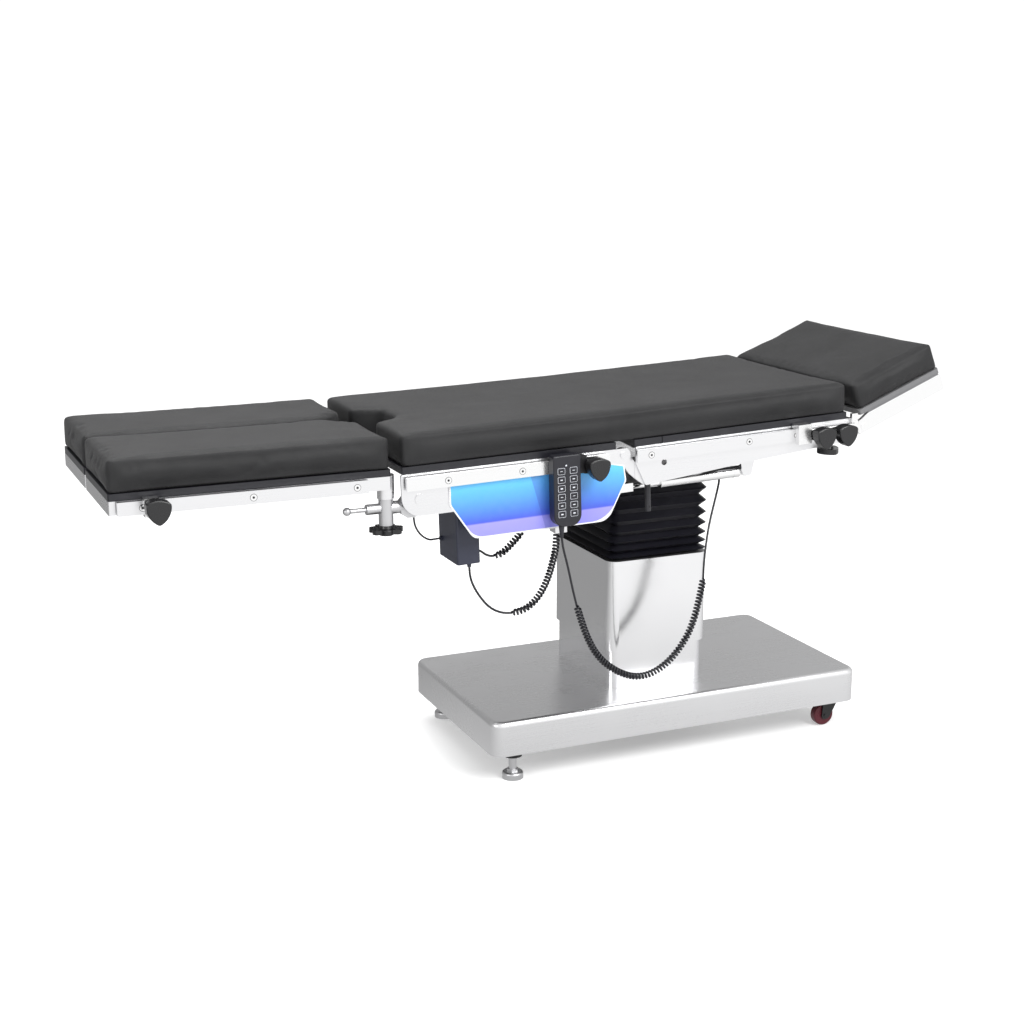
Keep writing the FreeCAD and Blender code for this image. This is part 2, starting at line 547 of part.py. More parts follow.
def handset():
    front, back = -handset_back - handset_thick, -handset_back
    body = side_plate([(-54.5, handset_top, 5), (12.5, handset_top, 5), (12.5, handset_bottom, 25),
                       (-54.5, handset_bottom, 25)], front, back)
    face_edges = [edge for edge in body.Edges if max(vertex.Y for vertex in edge.Vertexes) < front + 0.01]
    body = body.makeFillet(3, face_edges)
    hook_x0, hook_x1 = -36.0, -6.0
    hook = box(hook_x0, hook_x1, back - 1, -rail_inner + 2.5, rail_z + rail_height / 2 + 0.3,
               rail_z + rail_height / 2 + 5)
    lip = box(hook_x0, hook_x1, -rail_inner + 0.3, -rail_inner + 2.5, rail_z + 2, rail_z + rail_height / 2 + 5)
    relief_top = Vec(-34.2, -307, handset_bottom + 1)
    relief = Part.makeCone(6.5, lead_r + 1.0, 27, relief_top, Vec(0, 0, -1))
    return joined([body, hook, lip, relief])


def clamp_block(x0, width, side):
    """Block that grips the rail from outside, with the knob's boss in front."""
    low, high = rail_z - rail_height / 2 - 4, rail_z + rail_height / 2 + 6
    front = rail_outer + 12
    y0, y1 = sorted((side * (rail_inner - 3), side * front))
    body = box(x0, x0 + width, y0, y1, low, high)
    slot_y0, slot_y1 = sorted((side * (rail_inner - 0.2), side * (rail_outer + 0.3)))
    slot = box(x0 - 1, x0 + width + 1, slot_y0, slot_y1, rail_z - rail_height / 2 - 0.3,
               rail_z + rail_height / 2 + 0.3)
    mouth_y0, mouth_y1 = sorted((side * (rail_inner - 4), side * (rail_inner + 1)))
    mouth = box(x0 - 1, x0 + width + 1, mouth_y0, mouth_y1, low - 1, rail_z + rail_height / 2 - 5)
    return body.cut(slot).cut(mouth), side * front


def back_plate():
    """Side plate, deep over the hinge and shallow at the head end, and the inner lug for the head pin."""
    plate = side_plate([(171.4, board_bottom, 3), (171.4, 737.3, 4), (194.3, 684.4, 5), (500.5, 707.1, 60),
                        (back_plate_end, 723.0, 0), (back_plate_end, board_bottom, 0)], -plate_outer, -plate_inner)
    lug_outer = plate_outer - arm_thick - arm_gap
    lug = side_plate([(head_x - 70, head_z - 14, 4), (head_x, head_z - 14, 0), (head_x, head_z + 14, 0),
                      (head_x - 34, board_bottom, 6), (head_x - 70, board_bottom, 0)],
                     -lug_outer, -lug_outer + arm_thick)
    eye = hole_y(head_x, head_z, 14, -lug_outer, -lug_outer + arm_thick)
    filler = box(head_x - 70, back_plate_end - 4, -plate_inner, -lug_outer, head_z - 14, board_bottom)
    plate = joined([plate, filler]).cut(hole_y(243.3, 732.4, 7, -300, -200))
    lug = joined([lug, eye]).cut(filler).cut(hole_y(head_x, head_z, head_pin_r + hinge_fit, -300, -200))
    return plate, lug


def hinge_arm():
    """Curved casting from the hinge pin to the lower corner of the back plate."""
    outer = plate_inner
    inner = plate_inner - arm_thick
    eye = hole_y(hinge_x, hinge_z, hinge_boss_r - 2, -outer, -inner)
    arm = side_plate([(hinge_x - 11, hinge_z - 6, 0), (hinge_x + 12, hinge_z + 6, 0),
                      (hinge_x + 34, hinge_z - 24, 24), (hinge_x + 78, hinge_z - 60, 10),
                      (hinge_x + 74, hinge_z - 75, 4), (hinge_x + 50, hinge_z - 75, 6),
                      (hinge_x + 16, hinge_z - 46, 24)], -outer, -inner)
    return joined([eye, arm]).cut(hole_y(hinge_x, hinge_z, hinge_pin_r + hinge_fit, -300, -200))


def back_parts():
    plate, lug = back_plate()
    frame = both_sides(plate)
    for side in (-1, 1):
        arm = hinge_arm()
        gap = side_plate([(hinge_x - 30, 840, 0), (hinge_x + 31, 840, 0), (hinge_x + 31, 640, 0),
                          (hinge_x - 30, 640, 0)], -plate_inner - 0.1, -plate_inner + arm_gap)
        arm = arm.cut(gap)
        frame.append(arm if side < 0 else other_side(arm))
    for x in back_crossbars:
        frame.append(box(x - crossbar / 2, x + crossbar / 2, -plate_inner, plate_inner,
                         board_bottom - 25, board_bottom))
    lug = lug.cut(frame[-1])
    for side in (-1, 1):
        rod_foot = Vec(bridge_rod_x, side * bridge_rod_y, 700)
        bush = rod(rod_foot + Vec(0, 0, 6), rod_foot + Vec(0, 0, 30), 13)
        strap_y0, strap_y1 = sorted((side * bridge_rod_y, side * plate_inner))
        strap = box(bridge_rod_x - 13, bridge_rod_x + 13, strap_y0, strap_y1, 706, 730)
        frame.append(joined([bush, strap]).cut(rod(rod_foot, rod_foot + Vec(0, 0, 40), bridge_rod_r + shaft_fit)))
        bracket = side_plate([(eye_x - 22, board_bottom, 0), (eye_x - 22, 720, 20),
                              (eye_x - 11, eye_z - 9, 9), (eye_x + 11, eye_z - 9, 9),
                              (eye_x + 26, 720, 20), (eye_x + 60, board_bottom, 0)],
                             side * (actuator_y + barrel_r + 7), side * (actuator_y + barrel_r + 1))
        pin = hole_y(eye_x, eye_z, 5, side * (actuator_y - barrel_r + 4), side * (actuator_y + barrel_r + 3))
        foot_y0, foot_y1 = sorted((side * (actuator_y + barrel_r + 1), side * plate_inner))
        foot = box(eye_x - 22, eye_x + 60, foot_y0, foot_y1, board_bottom - 8, board_bottom)
        frame += [bracket, pin, foot]
        rail = rail_bar(back_rail_start, back_rail_end, side, (203.2, 460.4, 590.0))
        frame.append(rail)
    add("back_frame", [joined(frame)] + both_sides(lug), "back")
    board = rounded(bridge_end + section_gap, back_end, 3 - pad_half, pad_half - 3, board_bottom, pad_bottom, 3)
    add("back_board", [board], "back")
    pad = rounded(fold_end, back_end, -pad_half, pad_half, pad_bottom, pad_bottom + pad_thick, pad_corner)
    add("back_pad", [pad], "back")
    bridge = rounded(back_left, bridge_end, 3 - pad_half, pad_half - 3, board_bottom, pad_bottom, 3)
    rods = []
    for side in (-1, 1):
        lift_rod = rod(Vec(bridge_rod_x, side * bridge_rod_y, bridge_rod_bottom),
                       Vec(bridge_rod_x, side * bridge_rod_y, board_bottom + 2), bridge_rod_r)
        rods.append(lift_rod.cut(hole_y(bridge_rod_x, bridge_rod_bottom + 11, 1.5, -300, 300)))
    add("kidney_bridge", [joined([bridge] + rods)], "back")
    actuator_parts()


def actuator_parts():
    barrels, rods = [], []
    for side in (-1, 1):
        y = side * actuator_y
        barrel = rod(Vec(barrel_start, y, eye_z), Vec(eye_x - 20, y, eye_z), barrel_r)
        collar = rod(Vec(eye_x - 30, y, eye_z), Vec(eye_x - 14, y, eye_z), barrel_r + 0.5)
        eye = hole_y(eye_x, eye_z, barrel_r, y - 9, y + 9)
        web = box(eye_x - 16, eye_x, y - 9, y + 9, eye_z - barrel_r + 2, eye_z + barrel_r - 2)
        bore = rod(Vec(barrel_start - 1, y, eye_z), Vec(eye_x - 34, y, eye_z), rod_r + rod_clearance)
        body = joined([barrel, collar, eye, web]).cut(bore)
        barrels.append(body.cut(hole_y(eye_x, eye_z, 5 + hinge_fit, y - 20, y + 20)))
        heel_x = rod_start + tine_length
        shaft = rod(Vec(heel_x + 8, y, eye_z), Vec(eye_x - 90, y, eye_z), rod_r)
        tines = [box(rod_start - 10, heel_x + 1, y + off - 2, y + off + 2, eye_z - 10, eye_z + 10)
                 for off in (-7.5, 7.5)]
        heel = box(heel_x, heel_x + 11, y - 9.5, y + 9.5, eye_z - 10, eye_z + 10)
        rods.append(joined([shaft, heel] + tines))
    add("back_cylinders", barrels, "back")
    add("back_rods", rods, "back")


def socket_parts():
    """Clamping heads of the head section: claws round the rail and a block with three knobs."""
    def from_side(side, near, far):
        return sorted((side * near, side * far))

    claw_x0, claw_x1 = socket_start - 5, socket_start + claw_width - 5
    rail_low, rail_high = rail_z - rail_height / 2, rail_z + rail_height / 2
    for side, label in ((-1, "front"), (1, "rear")):
        body = box(claw_x1 - 3, socket_end, *from_side(side, plate_outer, rail_outer + 14), rail_z - 16, rail_z + 14)
        body = body.makeFillet(4, [edge for edge in body.Edges
                                   if abs(edge.tangentAt(edge.FirstParameter).x) > 0.9])
        claw = box(claw_x0, claw_x1, *from_side(side, rail_outer + 0.3, rail_outer + 16),
                   rail_low - 6, rail_high + 12)
        cap = box(claw_x0, claw_x1, *from_side(side, plate_outer + 2, rail_outer + 16),
                  rail_high + 0.3, rail_high + 12)
        tab = box(749.4, 766.1, *from_side(side, plate_outer, plate_outer + 8), 752, 789)
        link = box(socket_end - 6, 760, *from_side(side, plate_outer, plate_outer + 8), 752, 770)
        rail_room = box(socket_start - 20, back_rail_end + 0.3, *from_side(side, rail_inner - 6.1, rail_outer + 0.3),
                        rail_low - 0.3, rail_high + 0.3)
        casting = joined([body, claw, cap, tab, link]).cut(rail_room)
        face = side * (rail_outer + 14)
        out = Vec(0, side, 0)
        for number, x in enumerate(head_knob_x):
            name = "%s_head_knob_%d" % (label, number + 1)
            centre = Vec(x, face + side * (5 + knob_gap), rail_z - 5)
            casting = casting.cut(rod(centre, centre - out * 22, knob_stem_r + hinge_fit))
            add(name, [tri_knob(centre, Vec(side, 0, 0), Vec(0, 0, -1), 14)], "back")
        low = Vec(lower_knob_x, side * lower_knob_y, lower_knob_top)
        stem_length = rail_z - 16 + 8 - lower_knob_top
        casting = casting.cut(rod(low, low + Vec(0, 0, stem_length + 6), knob_stem_r + hinge_fit))
        lock_knob = tri_knob(low, Vec(-side, 0, 0), Vec(0, side, 0), stem_length, knob_h / 2)
        add("%s_lock_knob" % label, [lock_knob], "back")
        add("head_sockets", [casting], "back")


def head_parts():
    arms = []
    inner = plate_outer - arm_thick
    for side in (-1, 1):
        y0, y1 = sorted((side * inner, side * plate_outer))
        arm = side_plate([(head_x, head_arm_low, 0), (head_arm_end, head_arm_low, 6),
                          (head_arm_end, head_arm_high, 6), (head_x + 22, head_arm_high, 20),
                          (head_x, head_z + head_lobe_r, 0)], y0, y1)
        knuckle = hole_y(head_x, head_z, head_lobe_r, y0, y1).cut(
            box(head_x - 40, head_x + 40, -300, 300, head_arm_low - 40, head_arm_low))
        pin = hole_y(head_x, head_z, head_pin_r, side * (inner - arm_gap - arm_thick - 2),
                     side * (plate_outer + 0.5))
        arms.append(joined([arm, knuckle, pin]))
    bars = [box(x - 10, x + 10, -inner - 1, inner + 1, head_arm_high - 18, head_arm_high)
            for x in (head_x + 60, head_arm_end - 30)]
    add("head_frame", [joined(arms + bars)], "head")
    low = head_pad_bottom - head_board_thick
    board = rounded(head_pad_start, head_pad_end - 2, 3 - pad_half, pad_half - 3, low, head_pad_bottom, 6)
    rests = box(head_x + 24, head_arm_end - 6, -plate_outer, plate_outer, head_arm_high, low)
    add("head_board", [joined([board, rests])], "head")
    pad = rounded(head_pad_start, head_pad_end, -pad_half, pad_half, head_pad_bottom,
                  head_pad_bottom + head_pad_thick, pad_corner)
    add("head_pad", [pad], "head")


def leg_slab(z0, z1, inset, corner):
    """Front leg slab, cut at the inner corner of the seat end."""
    outer, inner = -pad_half + inset, -leg_inner - inset
    end = leg_end + inset
    return flat_plate([(end, outer, corner), (leg_start, outer, corner),
                       (leg_start, inner - leg_chamfer, 16), (leg_start - leg_chamfer, inner, 16),
                       (end, inner, corner)], z0, z1)


def leg_parts(side, label):
    def sided(shape):
        return shape if side < 0 else other_side(shape)

    inset = pad_half - plate_outer
    outer = leg_slab(tray_bottom, leg_board_bottom, inset, 4)
    room_end, room_front = leg_end + inset + tray_wall, tray_wall - plate_outer
    room_back = -leg_inner - inset - tray_wall
    room = flat_plate([(room_end, room_front, 2), (leg_start - 40, room_front, 2),
                       (leg_start - 40, room_back - 84, 10), (leg_start - 80, room_back, 10),
                       (room_end, room_back, 2)], tray_bottom - 1, leg_board_bottom - tray_wall)
    tray = outer.cut(room)
    post_axis = Vec(post_x, -post_y, 0)
    sleeve = rod(post_axis + Vec(0, 0, sleeve_bottom), post_axis + Vec(0, 0, leg_board_bottom), sleeve_r)
    tray = joined([tray, sleeve]).cut(rod(post_axis + Vec(0, 0, sleeve_bottom - 1),
                                          post_axis + Vec(0, 0, leg_board_bottom - 4), 12 + sleeve_fit))
    # the leg's rail follows its own frame, 4 mm higher than the seat's
    rail = rail_bar(leg_rail_start, leg_rail_end, -1, (-950.0, -723.0, -499.0))
    rail.translate(Vec(0, 0, leg_rail_offset()))
    rail = rail.cut(box(leg_end - 40, leg_start, -plate_outer, 0, 700, 800))
    add(label + "_leg_frame", [sided(joined([tray, rail]))], "leg")
    add(label + "_leg_board", [sided(leg_slab(leg_board_bottom, leg_pad_bottom, 2, 6))], "leg")
    pad = leg_slab(leg_pad_bottom, leg_pad_bottom + pad_thick, 0, pad_corner)
    add(label + "_leg_pad", [sided(pad)], "leg")
    post = rod(post_axis + Vec(0, 0, post_bottom), post_axis + Vec(0, 0, sleeve_bottom - 0.4), post_r)
    spigot = rod(post_axis + Vec(0, 0, post_bottom), post_axis + Vec(0, 0, leg_board_bottom - 6), 12)
    post = joined([post, spigot]).cut(rod(post_axis + Vec(0, 0, post_bottom - 1),
                                          post_axis + Vec(0, 0, post_bottom + 20), 6 + hinge_fit))
    cross_z = leg_pivot_z + 0.5 - 18
    cross = rod(Vec(post_x, -post_y, cross_z), Vec(leg_pivot_x - 30, -post_y, cross_z), 14)
    casting = side_plate([(leg_pivot_x - 40, cross_z + 12, 8), (leg_pivot_x - 14, leg_pivot_z + 22, 14),
                          (leg_pivot_x + 20, leg_pivot_z + 20, 16), (leg_pivot_x + 22, leg_pivot_z - 20, 16),
                          (leg_pivot_x - 10, 678, 6), (leg_pivot_x - 26, 678, 6),
                          (leg_pivot_x - 40, cross_z - 14, 10)],
                         -post_y - 13, -post_y + 11)
    casting = casting.cut(hole_y(leg_pivot_x, leg_pivot_z, leg_pin_r + hinge_fit, -300, -200))
    collar = rod(Vec(post_x - 45, -post_y, cross_z), Vec(post_x - 14, -post_y, cross_z), 11.5)
    lock = rod(Vec(post_x - 88, -post_y, cross_z), Vec(post_x - 40, -post_y, cross_z), 5)
    ball = Part.makeSphere(9, Vec(post_x - 88, -post_y, cross_z))
    hinge = joined([post, cross, casting, collar, lock, ball])
    add(label + "_leg_hinge", [sided(hinge)], "leg")
    star_top = Vec(post_x, -post_y, post_bottom - 0.4)
    wheel = joined([star_knob(star_top), rod(star_top - Vec(0, 0, 8), star_top + Vec(0, 0, 16), 6)])
    add(label + "_star_knob", [sided(wheel)], "leg")


def leg_rail_offset():
    return (leg_board_bottom - 14.5) - rail_z


def clamp_parts():
    block, face = clamp_block(rail_clamp_x, rail_clamp_width, -1)
    block_end = rail_clamp_x + rail_clamp_width
    wing = box(block_end - 6, block_end + 36, face, face + 9, rail_z - 20, rail_z + 6)
    block = joined([block, wing])
    centre = Vec(clamp_knob_x, face - 5 - knob_gap, rail_z - 7)
    block = block.cut(rod(centre, centre + Vec(0, 22, 0), knob_stem_r + hinge_fit))
    add("rail_clamp", [block], "table")
    add("rail_clamp_knob", [tri_knob(centre, Vec(-1, 0, 0), Vec(0, 0, -1), 8)], "table")
    offset = Vec(0, 0, leg_rail_offset())
    block, face = clamp_block(leg_clamp_x, leg_clamp_width, -1)
    centre = Vec(-926.0, face - 5 - knob_gap, rail_z - 2)
    block = block.cut(rod(centre, centre + Vec(0, 10, 0), knob_stem_r + hinge_fit))
    block.translate(offset)
    add("leg_clamp", [block], "leg")
    add("leg_clamp_knob", [tri_knob(centre + offset, Vec(-1, 0, 0), Vec(0, 0, -1), 4)], "leg")


def cord(route, radius):
    """Tube along straight runs joined by tangent arcs."""
    points = [Vec(*point) for point in route]
    edges, start, radii = [], points[0], []
    for index in range(1, len(points) - 1):
        corner = points[index]
        before, after = points[index - 1] - corner, points[index + 1] - corner
        shorter = min(before.Length, after.Length)
        before.normalize()
        after.normalize()
        half_turn = (math.pi - before.getAngle(after)) / 2
        bend = 0.45 * shorter / math.tan(half_turn)
        reach = 0.45 * shorter
        enter, leave = corner + before * reach, corner + after * reach
        toward = (before + after).normalize()
        middle = corner + toward * (bend / math.cos(half_turn) - bend)
        edges.append(Part.LineSegment(start, enter).toShape())
        edges.append(Part.Arc(enter, middle, leave).toShape())
        radii.append(bend)
        start = leave
    edges.append(Part.LineSegment(start, points[-1]).toShape())
    path = Part.Wire(edges)
    first = points[1] - points[0]
    ring = Part.Wire([Part.makeCircle(radius, points[0], first)])
    tube = path.makePipeShell([ring], True, False)
    length = sum(edge.Length for edge in edges)
    print("cord length %.1f smallest radius %.1f volume share %.4f" %
          (length, min(radii), tube.Volume / (math.pi * radius ** 2 * length)))
    return tube


def cord_parts():
    add("handset_cord_lead", [cord(handset_lead_route, lead_r)])
    add("handset_cord_coil", [cord(handset_coil_route, coil_r)])
    add("handset_cord_tail", [cord(handset_tail_route, lead_r)])
    add("box_lead", [cord(box_lead_route, lead_r - 0.6)])
    add("valve_cord_lead", [cord(valve_lead_route, lead_r)])
    add("valve_cord_coil", [cord(valve_coil_route, coil_r)])
    add("pump_cord_lead", [cord(pump_lead_route, lead_r)])
    add("pump_cord_coil", [cord(pump_coil_route, coil_r)])


def build():
    base_parts()
    for side, label in ((-1, "front"), (1, "rear")):
        add(label + "_levelling_foot", [levelling_foot(side)])
        fork, wheel = caster(side)
        add(label + "_caster_fork", [fork])
        add(label + "_caster_wheel", [wheel])
    column_parts()
    add("bellows", [bellows_shape()])
    add("tilt_yoke", [tilt_yoke()], "table")
    seat_parts()
    add("side_panel", [panel()], "table")
    add("control_box", [control_box()], "table")
    add("handset", [handset()], "table")
    back_parts()
    socket_parts()
    head_parts()
    leg_parts(-1, "front")
    leg_parts(1, "rear")
    clamp_parts()
    cord_parts()


build()
os.makedirs("parts", exist_ok=True)
for name, solids in nodes.items():
    shape = solids[0] if len(solids) == 1 else Part.makeCompound(solids)
    if not shape.isValid():
        print("not valid:", name)
    shape.exportStep("parts/%s.step" % name)
print(len(nodes), "nodes")
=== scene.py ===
import bmesh
import bpy
from math import cos, pi, radians, sin
from mathutils import Matrix, Vector, noise


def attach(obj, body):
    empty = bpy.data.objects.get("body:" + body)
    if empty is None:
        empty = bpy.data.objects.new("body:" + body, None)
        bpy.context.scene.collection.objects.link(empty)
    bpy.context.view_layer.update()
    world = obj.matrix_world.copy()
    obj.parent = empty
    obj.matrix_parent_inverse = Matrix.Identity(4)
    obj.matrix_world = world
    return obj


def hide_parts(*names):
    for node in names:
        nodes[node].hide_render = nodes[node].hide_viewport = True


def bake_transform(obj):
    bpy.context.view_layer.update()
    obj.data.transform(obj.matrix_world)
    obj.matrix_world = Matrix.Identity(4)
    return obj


# operating table: metres, +X to the head end, the front is -Y
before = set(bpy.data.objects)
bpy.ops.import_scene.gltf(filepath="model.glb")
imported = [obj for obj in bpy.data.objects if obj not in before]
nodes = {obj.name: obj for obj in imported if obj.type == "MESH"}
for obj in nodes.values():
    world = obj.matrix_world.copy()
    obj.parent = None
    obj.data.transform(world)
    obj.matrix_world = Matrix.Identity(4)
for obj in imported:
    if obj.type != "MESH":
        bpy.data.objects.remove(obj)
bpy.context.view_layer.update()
scene = bpy.context.scene
print("frame loaded,", len(nodes), "CAD nodes")

# each section is drawn flat and then turned about its hinges: (x, z) of the hinge, degrees about Y
tableTurn = ((0.2995, 0.716), -1.65)
backTurn = ((0.1394, 0.7613), -0.65)
sectionTurns = {
    "world": [],
    "table": [tableTurn],
    "back": [backTurn, tableTurn],
    "head": [((0.789, 0.7524), -19.3), backTurn, tableTurn],
    "leg": [((-0.3531, 0.7193), 1.65), tableTurn],
}


def sectionMatrix(section):
    result = Matrix.Identity(4)
    for (x, z), angle in sectionTurns[section]:
        hinge = Matrix.Translation((x, 0, z))
        result = hinge @ Matrix.Rotation(radians(angle), 4, "Y") @ hinge.inverted() @ result
    return result


# camera
camera = {"place": (-1.561, -3.563, 1.514), "yaw": 23.43, "pitch": 13.53, "roll": 0.1,
          "lens": 58.53}
cameraData = bpy.data.cameras.new("camera")
cameraData.lens = camera["lens"]
cameraData.sensor_width = 36
cameraObject = bpy.data.objects.new("camera", cameraData)
scene.collection.objects.link(cameraObject)
cameraObject.location = camera["place"]
cameraObject.rotation_euler = (radians(90 - camera["pitch"]), radians(camera["roll"]),
                               radians(-camera["yaw"]))
scene.camera = cameraObject

# studio: pale floor, soft boxes, white backdrop; the steel reflects a brighter front than back
studio = {"floorSize": 30.0, "floorColour": (0.88, 0.88, 0.88), "backdrop": 1.08, "fill": 0.80,
          "frontGlow": 1.15, "backGlow": 0.36, "floorLift": 0.34,
          "towardsFront": (0.28, -0.96, 0.0)}
softBoxes = [
    # name, place, aim, size, watts
    ("keyBox", (1.3, -3.4, 3.4), (0.2, 0.0, 0.5), 2.2, 150),
    ("topBox", (-0.6, 0.9, 3.4), (0.1, 0.0, 0.7), 2.4, 70),
    ("sideBox", (-4.0, -1.6, 1.9), (0.0, 0.0, 0.6), 1.4, 30),
]


def addNode(tree, kind, inputs=None, **settings):
    made = tree.nodes.new(kind)
    for key, value in settings.items():
        setattr(made, key, value)
    for key, value in (inputs or {}).items():
        if isinstance(value, bpy.types.NodeSocket):
            tree.links.new(value, made.inputs[key])
        else:
            made.inputs[key].default_value = value
    return made


def colour4(colour):
    return (*colour, 1.0)


def mathNode(tree, operation, first, second):
    return addNode(tree, "ShaderNodeMath", {0: first, 1: second}, operation=operation).outputs[0]


def frontGlow(tree, vector, back, front, low, high):
    across = addNode(tree, "ShaderNodeVectorMath", {0: vector, 1: studio["towardsFront"]},
                     operation="DOT_PRODUCT")
    return addNode(tree, "ShaderNodeMapRange",
                   {"Value": across.outputs["Value"], "From Min": back, "From Max": front,
                    "To Min": low, "To Max": high}).outputs["Result"]


world = bpy.data.worlds.new("studioLight")
world.use_nodes = True
worldTree = world.node_tree
rays = addNode(worldTree, "ShaderNodeLightPath").outputs
skyWay = addNode(worldTree, "ShaderNodeTexCoord").outputs["Generated"]
glow = frontGlow(worldTree, skyWay, -0.9, 0.9, studio["backGlow"], studio["frontGlow"])
mirrored = mathNode(worldTree, "MULTIPLY", rays["Is Glossy Ray"],
                    mathNode(worldTree, "SUBTRACT", glow, studio["fill"]))
seen = mathNode(worldTree, "MULTIPLY", rays["Is Camera Ray"], studio["backdrop"] - studio["fill"])
skyLight = mathNode(worldTree, "ADD", mathNode(worldTree, "ADD", mirrored, seen), studio["fill"])
worldTree.links.new(skyLight, worldTree.nodes["Background"].inputs["Strength"])
worldTree.nodes["Background"].inputs["Color"].default_value = (1.0, 1.0, 1.0, 1.0)
scene.world = world
scene.view_settings.view_transform = "Standard"
for boxName, place, aim, size, watts in softBoxes:
    lamp = bpy.data.lights.new(boxName, "AREA")
    lamp.shape, lamp.size, lamp.energy = "SQUARE", size, watts
    lampObject = bpy.data.objects.new(boxName, lamp)
    scene.collection.objects.link(lampObject)
    lampObject.location = place
    lampObject.rotation_euler = (Vector(aim) - Vector(place)).to_track_quat("-Z", "Y").to_euler()


# shader node groups, each built once
bumpDepth = {"steel": 0.0006, "plain": 0.0004, "skin": 0.0007, "film": 0.0005}
smudgeShare, dustShare = 0.14, 0.35


def newGroup(name, inputs, outputs):
    group = bpy.data.node_groups.new(name, "ShaderNodeTree")
    for label, kind, value in inputs:
        socket = group.interface.new_socket(label, in_out="INPUT", socket_type=kind)
        socket.default_value = value
    for label, kind in outputs:
        group.interface.new_socket(label, in_out="OUTPUT", socket_type=kind)
    given, result = group.nodes.new("NodeGroupInput"), group.nodes.new("NodeGroupOutput")
    return group, given.outputs, result.inputs


def mixColours(tree, factor, first, second):
    made = addNode(tree, "ShaderNodeMix", data_type="RGBA")
    for index, value in ((0, factor), (6, first), (7, second)):
        if isinstance(value, bpy.types.NodeSocket):
            tree.links.new(value, made.inputs[index])
        else:
            made.inputs[index].default_value = value
    return made.outputs[2]


def buildBrushLines():
    tree, given, result = newGroup(
        "brushLines",
        [("Stretch", "NodeSocketVector", (3, 900, 900)), ("Smooth", "NodeSocketFloat", 0.22),
         ("Rough", "NodeSocketFloat", 0.42), ("Smudge", "NodeSocketFloat", 0.5)],
        [("Roughness", "NodeSocketFloat"), ("Height", "NodeSocketFloat"),
         ("Tone", "NodeSocketFloat")])
    spot = addNode(tree, "ShaderNodeTexCoord").outputs["Object"]
    stretched = addNode(tree, "ShaderNodeVectorMath", {0: spot, 1: given["Stretch"]},
                        operation="MULTIPLY").outputs[0]
    lines = addNode(tree, "ShaderNodeTexNoise",
                    {"Vector": stretched, "Scale": 1.0, "Detail": 3.0, "Roughness": 0.65})
    clouds = addNode(tree, "ShaderNodeTexNoise",
                     {"Vector": spot, "Scale": 7.0, "Detail": 4.0, "Roughness": 0.6})
    wipes = addNode(tree, "ShaderNodeMapRange",
                    {"Value": clouds.outputs["Fac"], "From Min": 0.42, "From Max": 0.72})
    span = mathNode(tree, "SUBTRACT", given["Rough"], given["Smooth"])
    share = mathNode(tree, "MULTIPLY", lines.outputs["Fac"], span)
    smudged = mathNode(tree, "MULTIPLY",
                       mathNode(tree, "MULTIPLY", wipes.outputs["Result"], given["Smudge"]),
                       smudgeShare)
    total = mathNode(tree, "ADD", mathNode(tree, "ADD", given["Smooth"], share), smudged)
    tree.links.new(total, result["Roughness"])
    tree.links.new(lines.outputs["Fac"], result["Height"])
    tone = addNode(tree, "ShaderNodeMapRange",
                   {"Value": lines.outputs["Fac"], "From Min": 0.3, "From Max": 0.7,
                    "To Min": 0.9, "To Max": 1.0})
    tree.links.new(tone.outputs["Result"], result["Tone"])
    return tree


def buildSkinGrain():
    tree, given, result = newGroup(
        "skinGrain",
        [("Scale", "NodeSocketFloat", 900.0), ("Crease", "NodeSocketFloat", 0.5)],
        [("Height", "NodeSocketFloat"), ("Tone", "NodeSocketFloat"), ("Wear", "NodeSocketFloat")])
    spot = addNode(tree, "ShaderNodeTexCoord").outputs["Object"]
    cells = addNode(tree, "ShaderNodeTexVoronoi", {"Vector": spot, "Scale": given["Scale"]},
                    feature="DISTANCE_TO_EDGE")
    cellEdge = addNode(tree, "ShaderNodeMapRange",
                       {"Value": cells.outputs["Distance"], "From Max": 0.12})
    fine = addNode(tree, "ShaderNodeTexNoise",
                   {"Vector": spot, "Scale": 320.0, "Detail": 3.0, "Roughness": 0.6})
    folds = addNode(tree, "ShaderNodeTexNoise",
                    {"Vector": spot, "Scale": 9.0, "Detail": 2.5, "Distortion": 0.6})
    grain = mathNode(tree, "ADD", mathNode(tree, "MULTIPLY", cellEdge.outputs["Result"], 0.5),
                     fine.outputs["Fac"])
    height = mathNode(tree, "ADD", grain,
                      mathNode(tree, "MULTIPLY", folds.outputs["Fac"], given["Crease"]))
    tree.links.new(height, result["Height"])
    tone = addNode(tree, "ShaderNodeMapRange",
                   {"Value": folds.outputs["Fac"], "From Min": 0.3, "From Max": 0.75})
    tree.links.new(tone.outputs["Result"], result["Tone"])
    tree.links.new(fine.outputs["Fac"], result["Wear"])
    return tree


